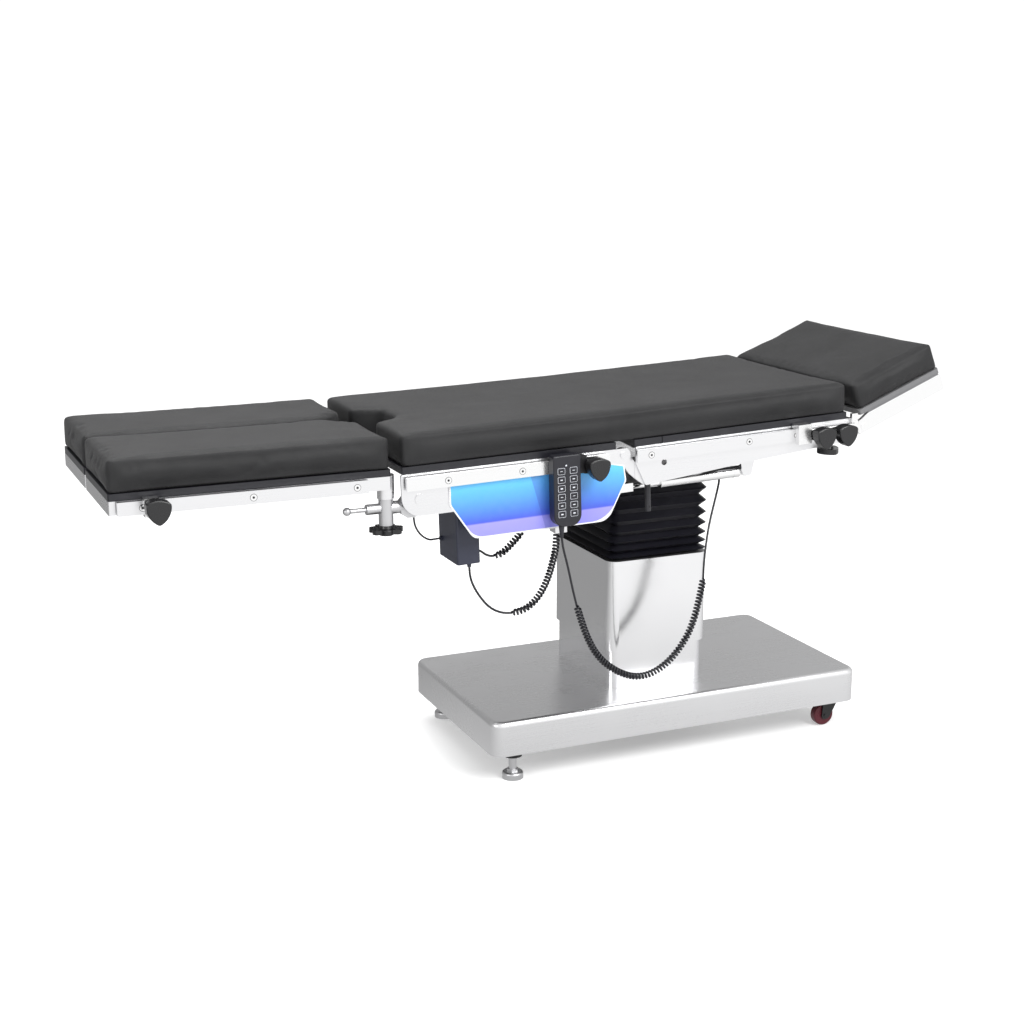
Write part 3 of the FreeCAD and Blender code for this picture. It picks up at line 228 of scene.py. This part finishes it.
def buildFineSpeckle():
    tree, given, result = newGroup(
        "fineSpeckle",
        [("Scale", "NodeSocketFloat", 700.0), ("Smooth", "NodeSocketFloat", 0.3),
         ("Rough", "NodeSocketFloat", 0.5)],
        [("Height", "NodeSocketFloat"), ("Roughness", "NodeSocketFloat"),
         ("Dust", "NodeSocketFloat")])
    spot = addNode(tree, "ShaderNodeTexCoord").outputs["Object"]
    grains = addNode(tree, "ShaderNodeTexNoise",
                     {"Vector": spot, "Scale": given["Scale"], "Detail": 2.0})
    patches = addNode(tree, "ShaderNodeTexNoise",
                      {"Vector": spot, "Scale": 14.0, "Detail": 4.0, "Roughness": 0.65})
    rough = mathNode(tree, "ADD", given["Smooth"], mathNode(
        tree, "MULTIPLY", patches.outputs["Fac"],
        mathNode(tree, "SUBTRACT", given["Rough"], given["Smooth"])))
    tree.links.new(grains.outputs["Fac"], result["Height"])
    tree.links.new(rough, result["Roughness"])
    dust = addNode(tree, "ShaderNodeMapRange",
                   {"Value": patches.outputs["Fac"], "From Min": 0.52, "From Max": 0.8})
    tree.links.new(dust.outputs["Result"], result["Dust"])
    return tree


brushLines, skinGrain, fineSpeckle = buildBrushLines(), buildSkinGrain(), buildFineSpeckle()
print("shader groups built")


def startMaterial(name):
    material = bpy.data.materials.new(name)
    material.use_nodes = True
    tree = material.node_tree
    return material, tree, tree.nodes["Principled BSDF"]


def useGroup(tree, group, values):
    made = addNode(tree, "ShaderNodeGroup", node_tree=group)
    for key, value in values.items():
        made.inputs[key].default_value = value
    return made.outputs


def addBump(tree, shader, height, strength, distance):
    bump = addNode(tree, "ShaderNodeBump",
                   {"Height": height, "Strength": strength, "Distance": distance})
    tree.links.new(bump.outputs["Normal"], shader.inputs["Normal"])


steelFinishes = {
    # stretch of the brush lines, smooth and rough ends, smudge, light and dark tone
    "sheetSteel": ((2.5, 700, 700), 0.20, 0.34, 0.5, (0.80, 0.80, 0.81), (0.66, 0.66, 0.68), 0.05),
    "columnSteel": ((3.0, 3.0, 620), 0.12, 0.22, 0.7, (0.82, 0.82, 0.83), (0.68, 0.68, 0.70), 0.05),
    "railSteel": ((2.0, 900, 900), 0.16, 0.28, 0.3, (0.86, 0.86, 0.86), (0.76, 0.76, 0.77), 0.04),
    "castSteel": ((260, 260, 260), 0.30, 0.46, 0.5, (0.60, 0.60, 0.61), (0.46, 0.46, 0.48), 0.12),
    "pinSteel": ((500, 500, 500), 0.08, 0.18, 0.3, (0.88, 0.88, 0.88), (0.80, 0.80, 0.80), 0.02),
}


def steelMaterial(name):
    stretch, smooth, rough, smudge, light, dark, depth = steelFinishes[name]
    material, tree, shader = startMaterial(name)
    lines = useGroup(tree, brushLines,
                     {"Stretch": stretch, "Smooth": smooth, "Rough": rough, "Smudge": smudge})
    tree.links.new(mixColours(tree, lines["Tone"], colour4(dark), colour4(light)),
                   shader.inputs["Base Color"])
    tree.links.new(lines["Roughness"], shader.inputs["Roughness"])
    shader.inputs["Metallic"].default_value = 1.0
    addBump(tree, shader, lines["Height"], depth, bumpDepth["steel"])
    return material


plainFinishes = {
    # base colour, dusty colour, grain scale, smooth and rough ends, bump, specular
    "blackBoard": ((0.010, 0.010, 0.014), (0.05, 0.05, 0.055), 900, 0.25, 0.42, 0.08, 0.5),
    "blackPlastic": ((0.009, 0.009, 0.010), (0.035, 0.035, 0.038), 1100, 0.22, 0.40, 0.10, 0.5),
    "knobPlastic": ((0.008, 0.008, 0.009), (0.03, 0.03, 0.032), 900, 0.20, 0.36, 0.12, 0.55),
    "housing": ((0.022, 0.025, 0.045), (0.06, 0.065, 0.09), 1400, 0.36, 0.52, 0.22, 0.5),
    "handsetRim": ((0.009, 0.009, 0.014), (0.03, 0.03, 0.04), 1400, 0.30, 0.46, 0.18, 0.5),
    "bellowsRubber": ((0.006, 0.006, 0.010), (0.022, 0.022, 0.03), 420, 0.24, 0.42, 0.18, 0.55),
    "darkIron": ((0.016, 0.016, 0.018), (0.06, 0.055, 0.05), 300, 0.45, 0.65, 0.30, 0.4),
    "wheelTread": ((0.085, 0.006, 0.014), (0.14, 0.05, 0.05), 500, 0.35, 0.55, 0.25, 0.45),
    "cordSkin": ((0.008, 0.008, 0.012), (0.03, 0.03, 0.035), 1200, 0.26, 0.44, 0.12, 0.5),
    "panelWhite": ((0.80, 0.80, 0.82), (0.70, 0.70, 0.72), 600, 0.25, 0.38, 0.05, 0.5),
    "printWhite": ((0.72, 0.74, 0.80), (0.55, 0.57, 0.62), 900, 0.35, 0.50, 0.05, 0.5),
    # painted shade: near-black stands in for the shade in the screw grooves and hex sockets
    "paintedRecessShade": ((0.02, 0.02, 0.022), (0.06, 0.06, 0.06), 600, 0.35, 0.5, 0.10, 0.5),
    "ribbedGrey": ((0.15, 0.15, 0.155), (0.24, 0.24, 0.24), 600, 0.38, 0.55, 0.15, 0.5),
}


def plainMaterial(name):
    base, dusty, scale, smooth, rough, depth, specular = plainFinishes[name]
    material, tree, shader = startMaterial(name)
    speckle = useGroup(tree, fineSpeckle, {"Scale": scale, "Smooth": smooth, "Rough": rough})
    tree.links.new(mixColours(tree, mathNode(tree, "MULTIPLY", speckle["Dust"], dustShare),
                              colour4(base), colour4(dusty)),
                   shader.inputs["Base Color"])
    tree.links.new(speckle["Roughness"], shader.inputs["Roughness"])
    shader.inputs["Specular IOR Level"].default_value = specular
    addBump(tree, shader, speckle["Height"], depth, bumpDepth["plain"])
    return material


padSkinLook = {"dark": (0.0115, 0.0115, 0.0122), "light": (0.019, 0.019, 0.020),
               "rough": (0.46, 0.62), "grain": 1100.0, "bump": 0.28}


def padSkinMaterial():
    material, tree, shader = startMaterial("padSkin")
    grain = useGroup(tree, skinGrain, {"Scale": padSkinLook["grain"], "Crease": 1.4})
    tree.links.new(mixColours(tree, grain["Tone"], colour4(padSkinLook["dark"]),
                              colour4(padSkinLook["light"])),
                   shader.inputs["Base Color"])
    rough = addNode(tree, "ShaderNodeMapRange",
                    {"Value": grain["Wear"], "To Min": padSkinLook["rough"][0],
                     "To Max": padSkinLook["rough"][1]})
    tree.links.new(rough.outputs["Result"], shader.inputs["Roughness"])
    shader.inputs["Specular IOR Level"].default_value = 0.30
    shader.inputs["Sheen Weight"].default_value = 0.06
    shader.inputs["Sheen Roughness"].default_value = 0.4
    addBump(tree, shader, grain["Height"], padSkinLook["bump"], bumpDepth["skin"])
    return material


panelLook = {
    # flat heights in metres and the colour there, from the top edge of the printed film down
    "stops": [(0.745, (0.10, 0.55, 0.95)), (0.715, (0.12, 0.42, 0.97)), (0.680, (0.06, 0.13, 0.80)),
              (0.650, (0.035, 0.075, 0.62)), (0.6465, (0.30, 0.28, 0.80)),
              (0.612, (0.25, 0.24, 0.74))],
    "sheenSlope": 0.30, "sheenX": -0.085, "sheenEnd": 0.10, "sheenHeight": 0.70, "lean": 0.0288,
    "leanDrop": 0.0086,
}


def panelPrintMaterial():
    material, tree, shader = startMaterial("panelPrint")
    spot = addNode(tree, "ShaderNodeTexCoord").outputs["Object"]
    axes = addNode(tree, "ShaderNodeSeparateXYZ", {"Vector": spot}).outputs
    # the film leans with the table top
    lean = mathNode(tree, "MULTIPLY", axes["X"], panelLook["lean"])
    height = mathNode(tree, "SUBTRACT", axes["Z"], lean)
    stops = panelLook["stops"]
    top, bottom = stops[0][0], stops[-1][0]
    share = addNode(tree, "ShaderNodeMapRange",
                    {"Value": height, "From Min": bottom - panelLook["leanDrop"],
                     "From Max": top - panelLook["leanDrop"]})
    ramp = addNode(tree, "ShaderNodeValToRGB", {"Fac": share.outputs["Result"]})
    elements = ramp.color_ramp.elements
    for index, (level, colour) in enumerate(reversed(stops)):
        element = elements[index] if index < 2 else elements.new(0.5)
        element.position = (level - bottom) / (top - bottom)
        element.color = colour4(colour)
    slant = mathNode(tree, "ADD", axes["X"],
                     mathNode(tree, "MULTIPLY", axes["Z"], panelLook["sheenSlope"]))
    rightOf = mathNode(tree, "GREATER_THAN", slant,
                       panelLook["sheenX"] + panelLook["sheenHeight"] * panelLook["sheenSlope"])
    glow = addNode(tree, "ShaderNodeMapRange",
                   {"Value": axes["X"], "From Min": panelLook["sheenX"],
                    "From Max": panelLook["sheenEnd"],
                    "To Min": 0.42, "To Max": 0.0})
    shadow = mathNode(tree, "MULTIPLY", rightOf, glow.outputs["Result"])
    shaded = mixColours(tree, shadow, ramp.outputs["Color"], (0.03, 0.05, 0.45, 1.0))
    brush = addNode(tree, "ShaderNodeTexNoise", {"Vector": spot, "Scale": 60.0, "Detail": 3.0})
    tinted = mixColours(tree, mathNode(tree, "MULTIPLY", brush.outputs["Fac"], 0.06), shaded,
                        (0.5, 0.6, 1.0, 1.0))
    tree.links.new(tinted, shader.inputs["Base Color"])
    shader.inputs["Roughness"].default_value = 0.32
    shader.inputs["Coat Weight"].default_value = 0.3
    shader.inputs["Coat Roughness"].default_value = 0.15
    addBump(tree, shader, brush.outputs["Fac"], 0.03, bumpDepth["film"])
    return material


materials = {name: steelMaterial(name) for name in steelFinishes}
materials.update({name: plainMaterial(name) for name in plainFinishes})
materials["padSkin"] = padSkinMaterial()
materials["panelPrint"] = panelPrintMaterial()

floorMaterial, floorTree, floorShader = startMaterial("paleFloor")
floorGrain = useGroup(floorTree, fineSpeckle, {"Scale": 60, "Smooth": 0.55, "Rough": 0.75})
floorTree.links.new(floorGrain["Roughness"], floorShader.inputs["Roughness"])
floorShader.inputs["Base Color"].default_value = colour4(studio["floorColour"])
floorShader.inputs["Specular IOR Level"].default_value = 0.2
floorRays = addNode(floorTree, "ShaderNodeLightPath").outputs
floorSpot = addNode(floorTree, "ShaderNodeTexCoord").outputs["Object"]
floorGlow = frontGlow(floorTree, floorSpot, -0.8, 1.6, studio["backGlow"], studio["frontGlow"])
lifted = addNode(floorTree, "ShaderNodeEmission", {"Strength": mathNode(
    floorTree, "MULTIPLY", floorRays["Is Camera Ray"], studio["floorLift"])})
lit = addNode(floorTree, "ShaderNodeAddShader", {0: floorShader.outputs[0], 1: lifted.outputs[0]})
reflected = addNode(floorTree, "ShaderNodeEmission", {"Strength": floorGlow})
floorMix = addNode(floorTree, "ShaderNodeMixShader",
                   {0: floorRays["Is Glossy Ray"], 1: lit.outputs[0],
                    2: reflected.outputs[0]})
floorTree.links.new(floorMix.outputs[0], floorTree.nodes["Material Output"].inputs["Surface"])
floorMesh = bmesh.new()
bmesh.ops.create_grid(floorMesh, x_segments=1, y_segments=1, size=studio["floorSize"])
floorData = bpy.data.meshes.new("floor")
floorMesh.to_mesh(floorData)
floorMesh.free()
floor = bpy.data.objects.new("floor", floorData)
floor.data.materials.append(floorMaterial)
scene.collection.objects.link(floor)
print("studio and materials ready")

# finish of every CAD node; those that a finer piece replaces get theirs too
nodeFinish = {
    "base_cover": "sheetSteel", "base_chassis": "darkIron", "lower_column_cover": "columnSteel",
    "upper_column_cover": "columnSteel", "middle_mast": "castSteel", "bellows": "bellowsRubber",
    "column_head": "castSteel", "tilt_yoke": "castSteel", "seat_frame": "sheetSteel",
    "seat_rails": "railSteel", "seat_board": "blackBoard", "seat_pad": "padSkin",
    "pad_fold": "padSkin", "side_panel": "panelWhite", "control_box": "housing",
    "handset": "handsetRim", "rail_clamp": "blackPlastic", "rail_clamp_knob": "knobPlastic",
    "back_frame": "sheetSteel", "back_board": "blackBoard", "back_pad": "padSkin",
    "head_sockets": "railSteel", "kidney_bridge": "blackBoard", "back_cylinders": "pinSteel",
    "back_rods": "pinSteel", "head_frame": "railSteel", "head_board": "ribbedGrey",
    "head_pad": "padSkin", "leg_clamp": "railSteel", "leg_clamp_knob": "knobPlastic",
}
for side in ("front", "rear"):
    nodeFinish.update({
        side + "_levelling_foot": "castSteel", side + "_caster_fork": "blackPlastic",
        side + "_caster_wheel": "wheelTread", side + "_head_knob_1": "knobPlastic",
        side + "_head_knob_2": "knobPlastic", side + "_lock_knob": "knobPlastic",
        side + "_leg_hinge": "castSteel", side + "_leg_frame": "sheetSteel",
        side + "_leg_board": "blackBoard", side + "_leg_pad": "padSkin",
        side + "_star_knob": "knobPlastic",
    })
for name, node in nodes.items():
    node.data.materials.clear()
    node.data.materials.append(materials[nodeFinish.get(name, "cordSkin")])


def makePiece(name, mesh, finishes, body, section="world", smoothAngle=35):
    data = bpy.data.meshes.new(name)
    mesh.transform(sectionMatrix(section))
    mesh.to_mesh(data)
    mesh.free()
    for finish in finishes:
        data.materials.append(materials[finish])
    data.polygons.foreach_set("use_smooth", [True] * len(data.polygons))
    data.set_sharp_from_angle(angle=radians(smoothAngle))
    piece = bpy.data.objects.new(name, data)
    scene.collection.objects.link(piece)
    if body:
        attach(piece, body)
    return piece


def bevelEdges(mesh, edges, offset, segments=3):
    bmesh.ops.bevel(mesh, geom=list(edges), offset=offset, segments=segments, profile=0.5,
                    affect="EDGES", material=-1, clamp_overlap=True)


def outlineFace(mesh, corners, lift):
    verts = [mesh.verts.new(lift(u, v)) for u, v, radius in corners]
    face = mesh.faces.new(verts)
    for vert, (u, v, radius) in zip(verts, corners):
        if radius:
            bmesh.ops.bevel(mesh, geom=[vert], offset=radius, segments=6, profile=0.5,
                            affect="VERTICES", material=-1)
    mesh.faces.ensure_lookup_table()
    return mesh.faces[0]


def extrudeFace(mesh, face, vector):
    made = bmesh.ops.extrude_face_region(mesh, geom=[face], use_keep_orig=True)["geom"]
    bmesh.ops.translate(mesh, vec=vector,
                        verts=[g for g in made if isinstance(g, bmesh.types.BMVert)])
    bmesh.ops.recalc_face_normals(mesh, faces=mesh.faces)
    return [g for g in made if isinstance(g, bmesh.types.BMFace)][0]


# pads: foam in a tight cover, swollen a little by a cloth run
padShape = {
    "bottom": 0.793, "thick": 0.070, "half": 0.2754, "corner": 0.011, "topEdge": 0.009,
    "bottomEdge": 0.005, "voxel": 0.0062, "pressure": 2.4, "cap": 0.0034, "frames": 16,
    "inset": 0.0016, "tension": 30, "bending": 4, "flatZone": 0.004,
    "wrinkles": ((14, 0.0005), (45, 0.00018)),
}
seatPadEnd, foldEnd, backPadEnd = 0.110, 0.240, 0.741
cutout = {"left": -0.391, "depth": 0.064, "half": 0.092, "inner": 0.053}
legPad = {"end": -1.0181, "start": -0.4181, "inner": 0.004, "chamfer": 0.064, "bottom": 0.7908}
headPad = {"start": 0.790, "end": 1.035, "bottom": 0.795, "thick": 0.067}


def padSlab(corners, bottom, thick):
    mesh = bmesh.new()
    inset = padShape["inset"]
    face = outlineFace(mesh, corners, lambda u, v: (u, v, bottom))
    extrudeFace(mesh, face, (0, 0, thick))
    top = [e for e in mesh.edges if all(v.co.z > bottom + thick - 1e-5 for v in e.verts)]
    bevelEdges(mesh, top, padShape["topEdge"], 5)
    low = [e for e in mesh.edges if all(v.co.z < bottom + 1e-5 for v in e.verts)]
    bevelEdges(mesh, low, padShape["bottomEdge"], 3)
    bmesh.ops.recalc_face_normals(mesh, faces=mesh.faces)
    for vert in mesh.verts:
        vert.co -= vert.normal * inset if vert.co.z > bottom + 0.002 else Vector((0, 0, 0))
    return mesh


def bakeModifiers(piece):
    shown = piece.evaluated_get(bpy.context.evaluated_depsgraph_get())
    data = bpy.data.meshes.new_from_object(shown)
    piece.modifiers.clear()
    piece.data = data


def swellPad(piece, bottom):
    remesh = piece.modifiers.new("even", "REMESH")
    remesh.mode, remesh.voxel_size = "VOXEL", padShape["voxel"]
    bakeModifiers(piece)
    rest = [(vert.co.copy(), vert.normal.copy()) for vert in piece.data.vertices]
    cloth = piece.modifiers.new("cover", "CLOTH")
    cloth.settings.use_pressure = True
    cloth.settings.uniform_pressure_force = padShape["pressure"]
    cloth.settings.effector_weights.gravity = 0
    cloth.settings.tension_stiffness = padShape["tension"]
    cloth.settings.compression_stiffness = padShape["tension"]
    cloth.settings.bending_stiffness = padShape["bending"]
    cloth.point_cache.frame_end = padShape["frames"]
    for number in range(1, padShape["frames"] + 1):
        scene.frame_set(number)
    bakeModifiers(piece)
    scene.frame_set(1)
    for vert, (start, outward) in zip(piece.data.vertices, rest):
        move = vert.co - start
        if move.length > padShape["cap"]:
            move *= padShape["cap"] / move.length
        if start.z < bottom + padShape["flatZone"]:
            move.z = max(move.z, 0.0)
        wrinkle = sum(noise.noise(start * scale) * depth for scale, depth in padShape["wrinkles"])
        vert.co = start + move
        if start.z > bottom + padShape["flatZone"]:
            vert.co += outward * wrinkle


def finishPad(piece, mover):
    for vert in piece.data.vertices:
        vert.co = mover(vert.co)
    piece.data.materials.clear()
    piece.data.materials.append(materials["padSkin"])
    piece.data.polygons.foreach_set("use_smooth", [True] * len(piece.data.polygons))
    piece.data.update()


def loosePiece(name, mesh):
    data = bpy.data.meshes.new(name)
    mesh.to_mesh(data)
    mesh.free()
    piece = bpy.data.objects.new(name, data)
    scene.collection.objects.link(piece)
    return piece


tableMatrix, backMatrix, headMatrix, legMatrix = (
    sectionMatrix(name) for name in ("table", "back", "head", "leg"))


def tableToPose(point):
    share = min(max((point.x - seatPadEnd) / (foldEnd - seatPadEnd), 0.0), 1.0)
    return (tableMatrix @ point).lerp(backMatrix @ point, share * share * (3 - 2 * share))


half, corner = padShape["half"], padShape["corner"]
innerX = cutout["left"] + cutout["depth"]
tableOutline = [
    (cutout["left"], -half, corner), (backPadEnd, -half, corner), (backPadEnd, half, corner),
    (cutout["left"], half, corner), (cutout["left"], cutout["half"], 0.010),
    (innerX, cutout["inner"], 0.020), (innerX, -cutout["inner"], 0.020),
    (cutout["left"], -cutout["half"], 0.010)]
tablePad = loosePiece("tablePad", padSlab(tableOutline, padShape["bottom"], padShape["thick"]))
swellPad(tablePad, padShape["bottom"])
finishPad(tablePad, tableToPose)
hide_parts("seat_pad", "pad_fold", "back_pad")
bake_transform(tablePad)
print("table pad")

headOutline = [(headPad["start"], -half, corner), (headPad["end"], -half, corner),
               (headPad["end"], half, corner), (headPad["start"], half, corner)]
headCushion = loosePiece("headPad", padSlab(headOutline, headPad["bottom"], headPad["thick"]))
swellPad(headCushion, headPad["bottom"])
finishPad(headCushion, lambda point: headMatrix @ point)
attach(headCushion, "head")
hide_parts("head_pad")

for side, sign in (("front", -1), ("rear", 1)):
    inner = legPad["inner"]
    chamfer = legPad["chamfer"]
    legOutline = [(legPad["end"], sign * half, corner), (legPad["start"], sign * half, corner),
                  (legPad["start"], sign * (inner + chamfer), 0.016),
                  (legPad["start"] - chamfer, sign * inner, 0.016),
                  (legPad["end"], sign * inner, corner)]
    cushion = loosePiece(side + "LegPad", padSlab(legOutline, legPad["bottom"], padShape["thick"]))
    swellPad(cushion, legPad["bottom"])
    finishPad(cushion, lambda point: legMatrix @ point)
    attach(cushion, side + "_leg")
    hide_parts(side + "_leg_pad")
print("head and leg pads")

# cords: the same points as the source, in millimetres
cordRoutes = {
    "handsetLead": [(-30.7, -307, 589.1), (-29, -307, 570), (-17, -303, 534), (-6, -298, 497),
                    (4, -294, 459), (15, -292, 421)],
    "handsetCoil": [(15, -292, 421), (31, -292, 370), (51, -292, 323), (76, -292, 286),
                    (108, -292, 258), (144, -292, 237), (182, -292, 228), (220, -292, 235),
                    (256, -292, 256), (288, -292, 289), (313, -292, 329), (331, -292, 385),
                    (343, -292, 448)],
    "handsetTail": [(343, -292, 448), (346, -288, 485), (357, -276, 522), (375, -256, 563),
                    (400, -232, 602), (425, -208, 638), (445, -184, 664), (450, -156, 682),
                    (440, -120, 699), (415, -92, 711), (388, -78, 717), (361.3, -78, 717.8)],
    "boxLead": [(-343.3, -204, 646), (-342, -203, 628), (-331, -198, 608), (-311, -180, 589),
                (-287, -154, 575), (-273, -138, 571.4), (-257.4, -138, 571.9)],
    "valveLead": [(-210.6, -200, 514.9), (-210, -200, 497), (-204, -200, 476), (-194, -200, 456),
                  (-181, -200, 436), (-165, -200, 417), (-147, -200, 404), (-127, -200, 396),
                  (-107, -200, 394)],
    "valveCoil": [(-107, -200, 394), (-81, -202, 396), (-58, -206, 411), (-42, -213, 433),
                  (-31, -221, 460), (-24, -229, 489), (-20, -238, 520), (-17, -249, 556),
                  (-17, -249, 587.2)],
    "pumpLead": [(-190, -196, 549.8), (-182, -196, 549.9), (-172, -198, 540), (-159, -200, 534.5),
                 (-150, -200, 534.5)],
    "pumpCoil": [(-150, -200, 534.5), (-138, -200, 534.5), (-123, -203, 545), (-108, -209, 563),
                 (-93, -216, 582), (-89, -218, 596), (-89, -218, 613.2)],
}
cordShape = {"wire": 0.0054, "coilRadius": 0.0062, "pitch": 0.0082, "perTurn": 12,
             "thinWire": 0.0044}
millimetre = 0.001


def routePoints(name):
    return [Vector(point) * millimetre for point in cordRoutes[name]]


def cordCurve(name, points, wire, fineness):
    curve = bpy.data.curves.new(name, "CURVE")
    curve.dimensions = "3D"
    spline = curve.splines.new("NURBS")
    spline.points.add(len(points) - 1)
    for knot, point in zip(spline.points, points):
        knot.co = (*point, 1.0)
    spline.order_u = 3
    spline.use_endpoint_u = True
    curve.resolution_u = fineness
    curve.bevel_depth = wire / 2
    curve.bevel_resolution = 2
    curve.use_fill_caps = True
    return curve


def splineLine(name, points, fineness):
    holder = bpy.data.objects.new(name, cordCurve(name, points, 0, fineness))
    scene.collection.objects.link(holder)
    data = bpy.data.meshes.new_from_object(holder)
    line = [vert.co.copy() for vert in data.vertices]
    bpy.data.objects.remove(holder)
    return line


def lineLength(line):
    return sum((second - first).length for first, second in zip(line, line[1:]))


def curledPoints(line, pitch, radius):
    length = lineLength(line)
    count = int(length / pitch) * cordShape["perTurn"]
    points, across = [], Vector((0, 1, 0))
    index, passed = 0, 0.0
    for number in range(count + 1):
        distance = min(length * number / count, length - 1e-7)
        while distance - passed > (line[index + 1] - line[index]).length:
            passed += (line[index + 1] - line[index]).length
            index += 1
        step = line[index + 1] - line[index]
        middle, along = line[index] + step * ((distance - passed) / step.length), step.normalized()
        across = (across - along * across.dot(along)).normalized()
        ends = min(number, count - number) / cordShape["perTurn"]
        reach = radius * min(1.0, 0.15 + ends)
        angle = 2 * pi * number / cordShape["perTurn"]
        points.append(middle + (across * cos(angle) + along.cross(across) * sin(angle)) * reach)
    return points


def curlyCord(name, parts, body, replaced, blended=None):
    points = []
    for part, curled in parts:
        if curled:
            points += curledPoints(splineLine(part, routePoints(part), 24), cordShape["pitch"],
                                   cordShape["coilRadius"])
        else:
            points += routePoints(part)
    line = splineLine(name + "Line", points, 2)
    holder = bpy.data.objects.new(name + "Curve", cordCurve(name, points, cordShape["wire"], 2))
    scene.collection.objects.link(holder)
    data = bpy.data.meshes.new_from_object(holder)
    bpy.data.objects.remove(holder)
    data.materials.clear()
    data.materials.append(materials["cordSkin"])
    data.polygons.foreach_set("use_smooth", [True] * len(data.polygons))
    piece = bpy.data.objects.new(name, data)
    scene.collection.objects.link(piece)
    print(name, "wire length", round(lineLength(line), 3), "triangles", 2 * len(data.polygons))
    if blended:
        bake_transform(piece)
    else:
        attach(piece, body)
    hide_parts(*replaced)
    return piece


def plainCord(name, route, body, wire, replaced):
    curve = cordCurve(name, routePoints(route), wire, 12)
    curve.materials.append(materials["cordSkin"])
    piece = bpy.data.objects.new(name, curve)
    scene.collection.objects.link(piece)
    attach(piece, body)
    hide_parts(replaced)
    print(name, "length", round(lineLength(splineLine(name + "Line", routePoints(route), 12)), 3))
    return piece


curlyCord("handsetCord", [("handsetLead", False), ("handsetCoil", True), ("handsetTail", False)],
          "table",
          ["handset_cord_lead", "handset_cord_coil", "handset_cord_tail"],
          ("tilt_yoke", "table", (0, 0, 0.45), (0, 0, 0.58)))
curlyCord("valveCord", [("valveLead", False), ("valveCoil", True)], "table",
          ["valve_cord_lead", "valve_cord_coil"])
curlyCord("pumpCord", [("pumpLead", False), ("pumpCoil", True)], "table",
          ["pump_cord_lead", "pump_cord_coil"])
plainCord("boxLead", "boxLead", "table", cordShape["thinWire"],
          "box_lead")
print("cords")

# printed film on the side panel, inside its white border
filmShape = {"back": -0.2774, "proud": -0.0003}
filmOutline = [(-0.2832, 0.7446, 0), (-0.2837, 0.6985, 0.005), (-0.2315, 0.6190, 0.020),
               (0.0945, 0.6176, 0.036), (0.1402, 0.7038, 0.004), (0.1360, 0.7372, 0),
               (0.1030, 0.7446, 0)]
filmMesh = bmesh.new()
filmFace = outlineFace(filmMesh, filmOutline, lambda u, v: (u, filmShape["back"], v))
extrudeFace(filmMesh, filmFace, (0, filmShape["proud"], 0))
makePiece("panelFilm", filmMesh, ["panelPrint"], "table", "table")


def addDisc(mesh, centre, radius, depth, slot, steps=32):
    turn = Matrix.Translation(centre) @ Matrix.Rotation(radians(90), 4, "X")
    made = bmesh.ops.create_cone(mesh, cap_ends=True, segments=steps, radius1=radius,
                                 radius2=radius, depth=depth, matrix=turn)
    for face in {face for vert in made["verts"] for face in vert.link_faces}:
        face.material_index = slot


def addPlate(mesh, centre, size, slot, corner):
    turn = Matrix.Translation(centre) @ Matrix.Diagonal((*size, 1.0))
    made = bmesh.ops.create_cube(mesh, size=1.0, matrix=turn)
    upright = [edge for edge in {edge for vert in made["verts"] for edge in vert.link_edges}
               if abs(edge.verts[0].co.y - edge.verts[1].co.y) > size[1] * 0.5]
    faces = {face for vert in made["verts"] for face in vert.link_faces}
    for face in faces:
        face.material_index = slot
    bevelEdges(mesh, upright, corner, 4)


# hand control: outlined foil keys and lamp
keypad = {"face": -0.316, "middle": -0.021, "columns": 0.0296, "firstRow": 0.7522, "rows": 0.0195,
          "rowCount": 6,
          "width": 0.0178, "height": 0.0147, "line": 0.0007}
keyMesh = bmesh.new()
for row in range(keypad["rowCount"]):
    for sign in (-1, 1):
        x = keypad["middle"] + sign * keypad["columns"] / 2
        z = keypad["firstRow"] - row * keypad["rows"]
        addPlate(keyMesh, (x, keypad["face"], z), (keypad["width"], 0.0006, keypad["height"]), 0,
                 0.0024)
        addPlate(keyMesh, (x, keypad["face"], z), (keypad["width"] - 2 * keypad["line"], 0.0010,
                                                   keypad["height"] - 2 * keypad["line"]), 1,
                 0.0019)
        addPlate(keyMesh, (x, keypad["face"], z), (0.0056, 0.0014, 0.0012 + 0.0008 * (row % 3)), 0,
                 0.0003)
addDisc(keyMesh, (-0.024, keypad["face"], 0.7646), 0.0019, 0.0014, 0, 20)
makePiece("handsetKeys", keyMesh, ["printWhite", "handsetRim"], "table", "table")

# countersunk screws along the front rails; the groove round the head and the hex socket are flat
# near-black discs, painted shade for those recesses
screwRows = [
    # section, body, face, places
    ("table", "table", -0.2890, [(-0.2919, 0.757), (-0.1169, 0.757), (0.060, 0.757)]),
    ("back", "back", -0.2890, [(0.2032, 0.757), (0.4604, 0.757), (0.590, 0.757)]),
    ("leg", "front_leg", -0.2890, [(-0.950, 0.7613), (-0.723, 0.7613), (-0.499, 0.7613)]),
]
for section, body, face, places in screwRows:
    screwMesh = bmesh.new()
    for x, z in places:
        addDisc(screwMesh, (x, face, z), 0.0078, 0.0005, 0)
        addDisc(screwMesh, (x, face, z), 0.0069, 0.0010, 1)
        addDisc(screwMesh, (x, face, z), 0.0029, 0.0014, 0, 6)
    makePiece(section + "RailScrews", screwMesh, ["paintedRecessShade", "pinSteel"], body, section)
print("film, keys and screws")
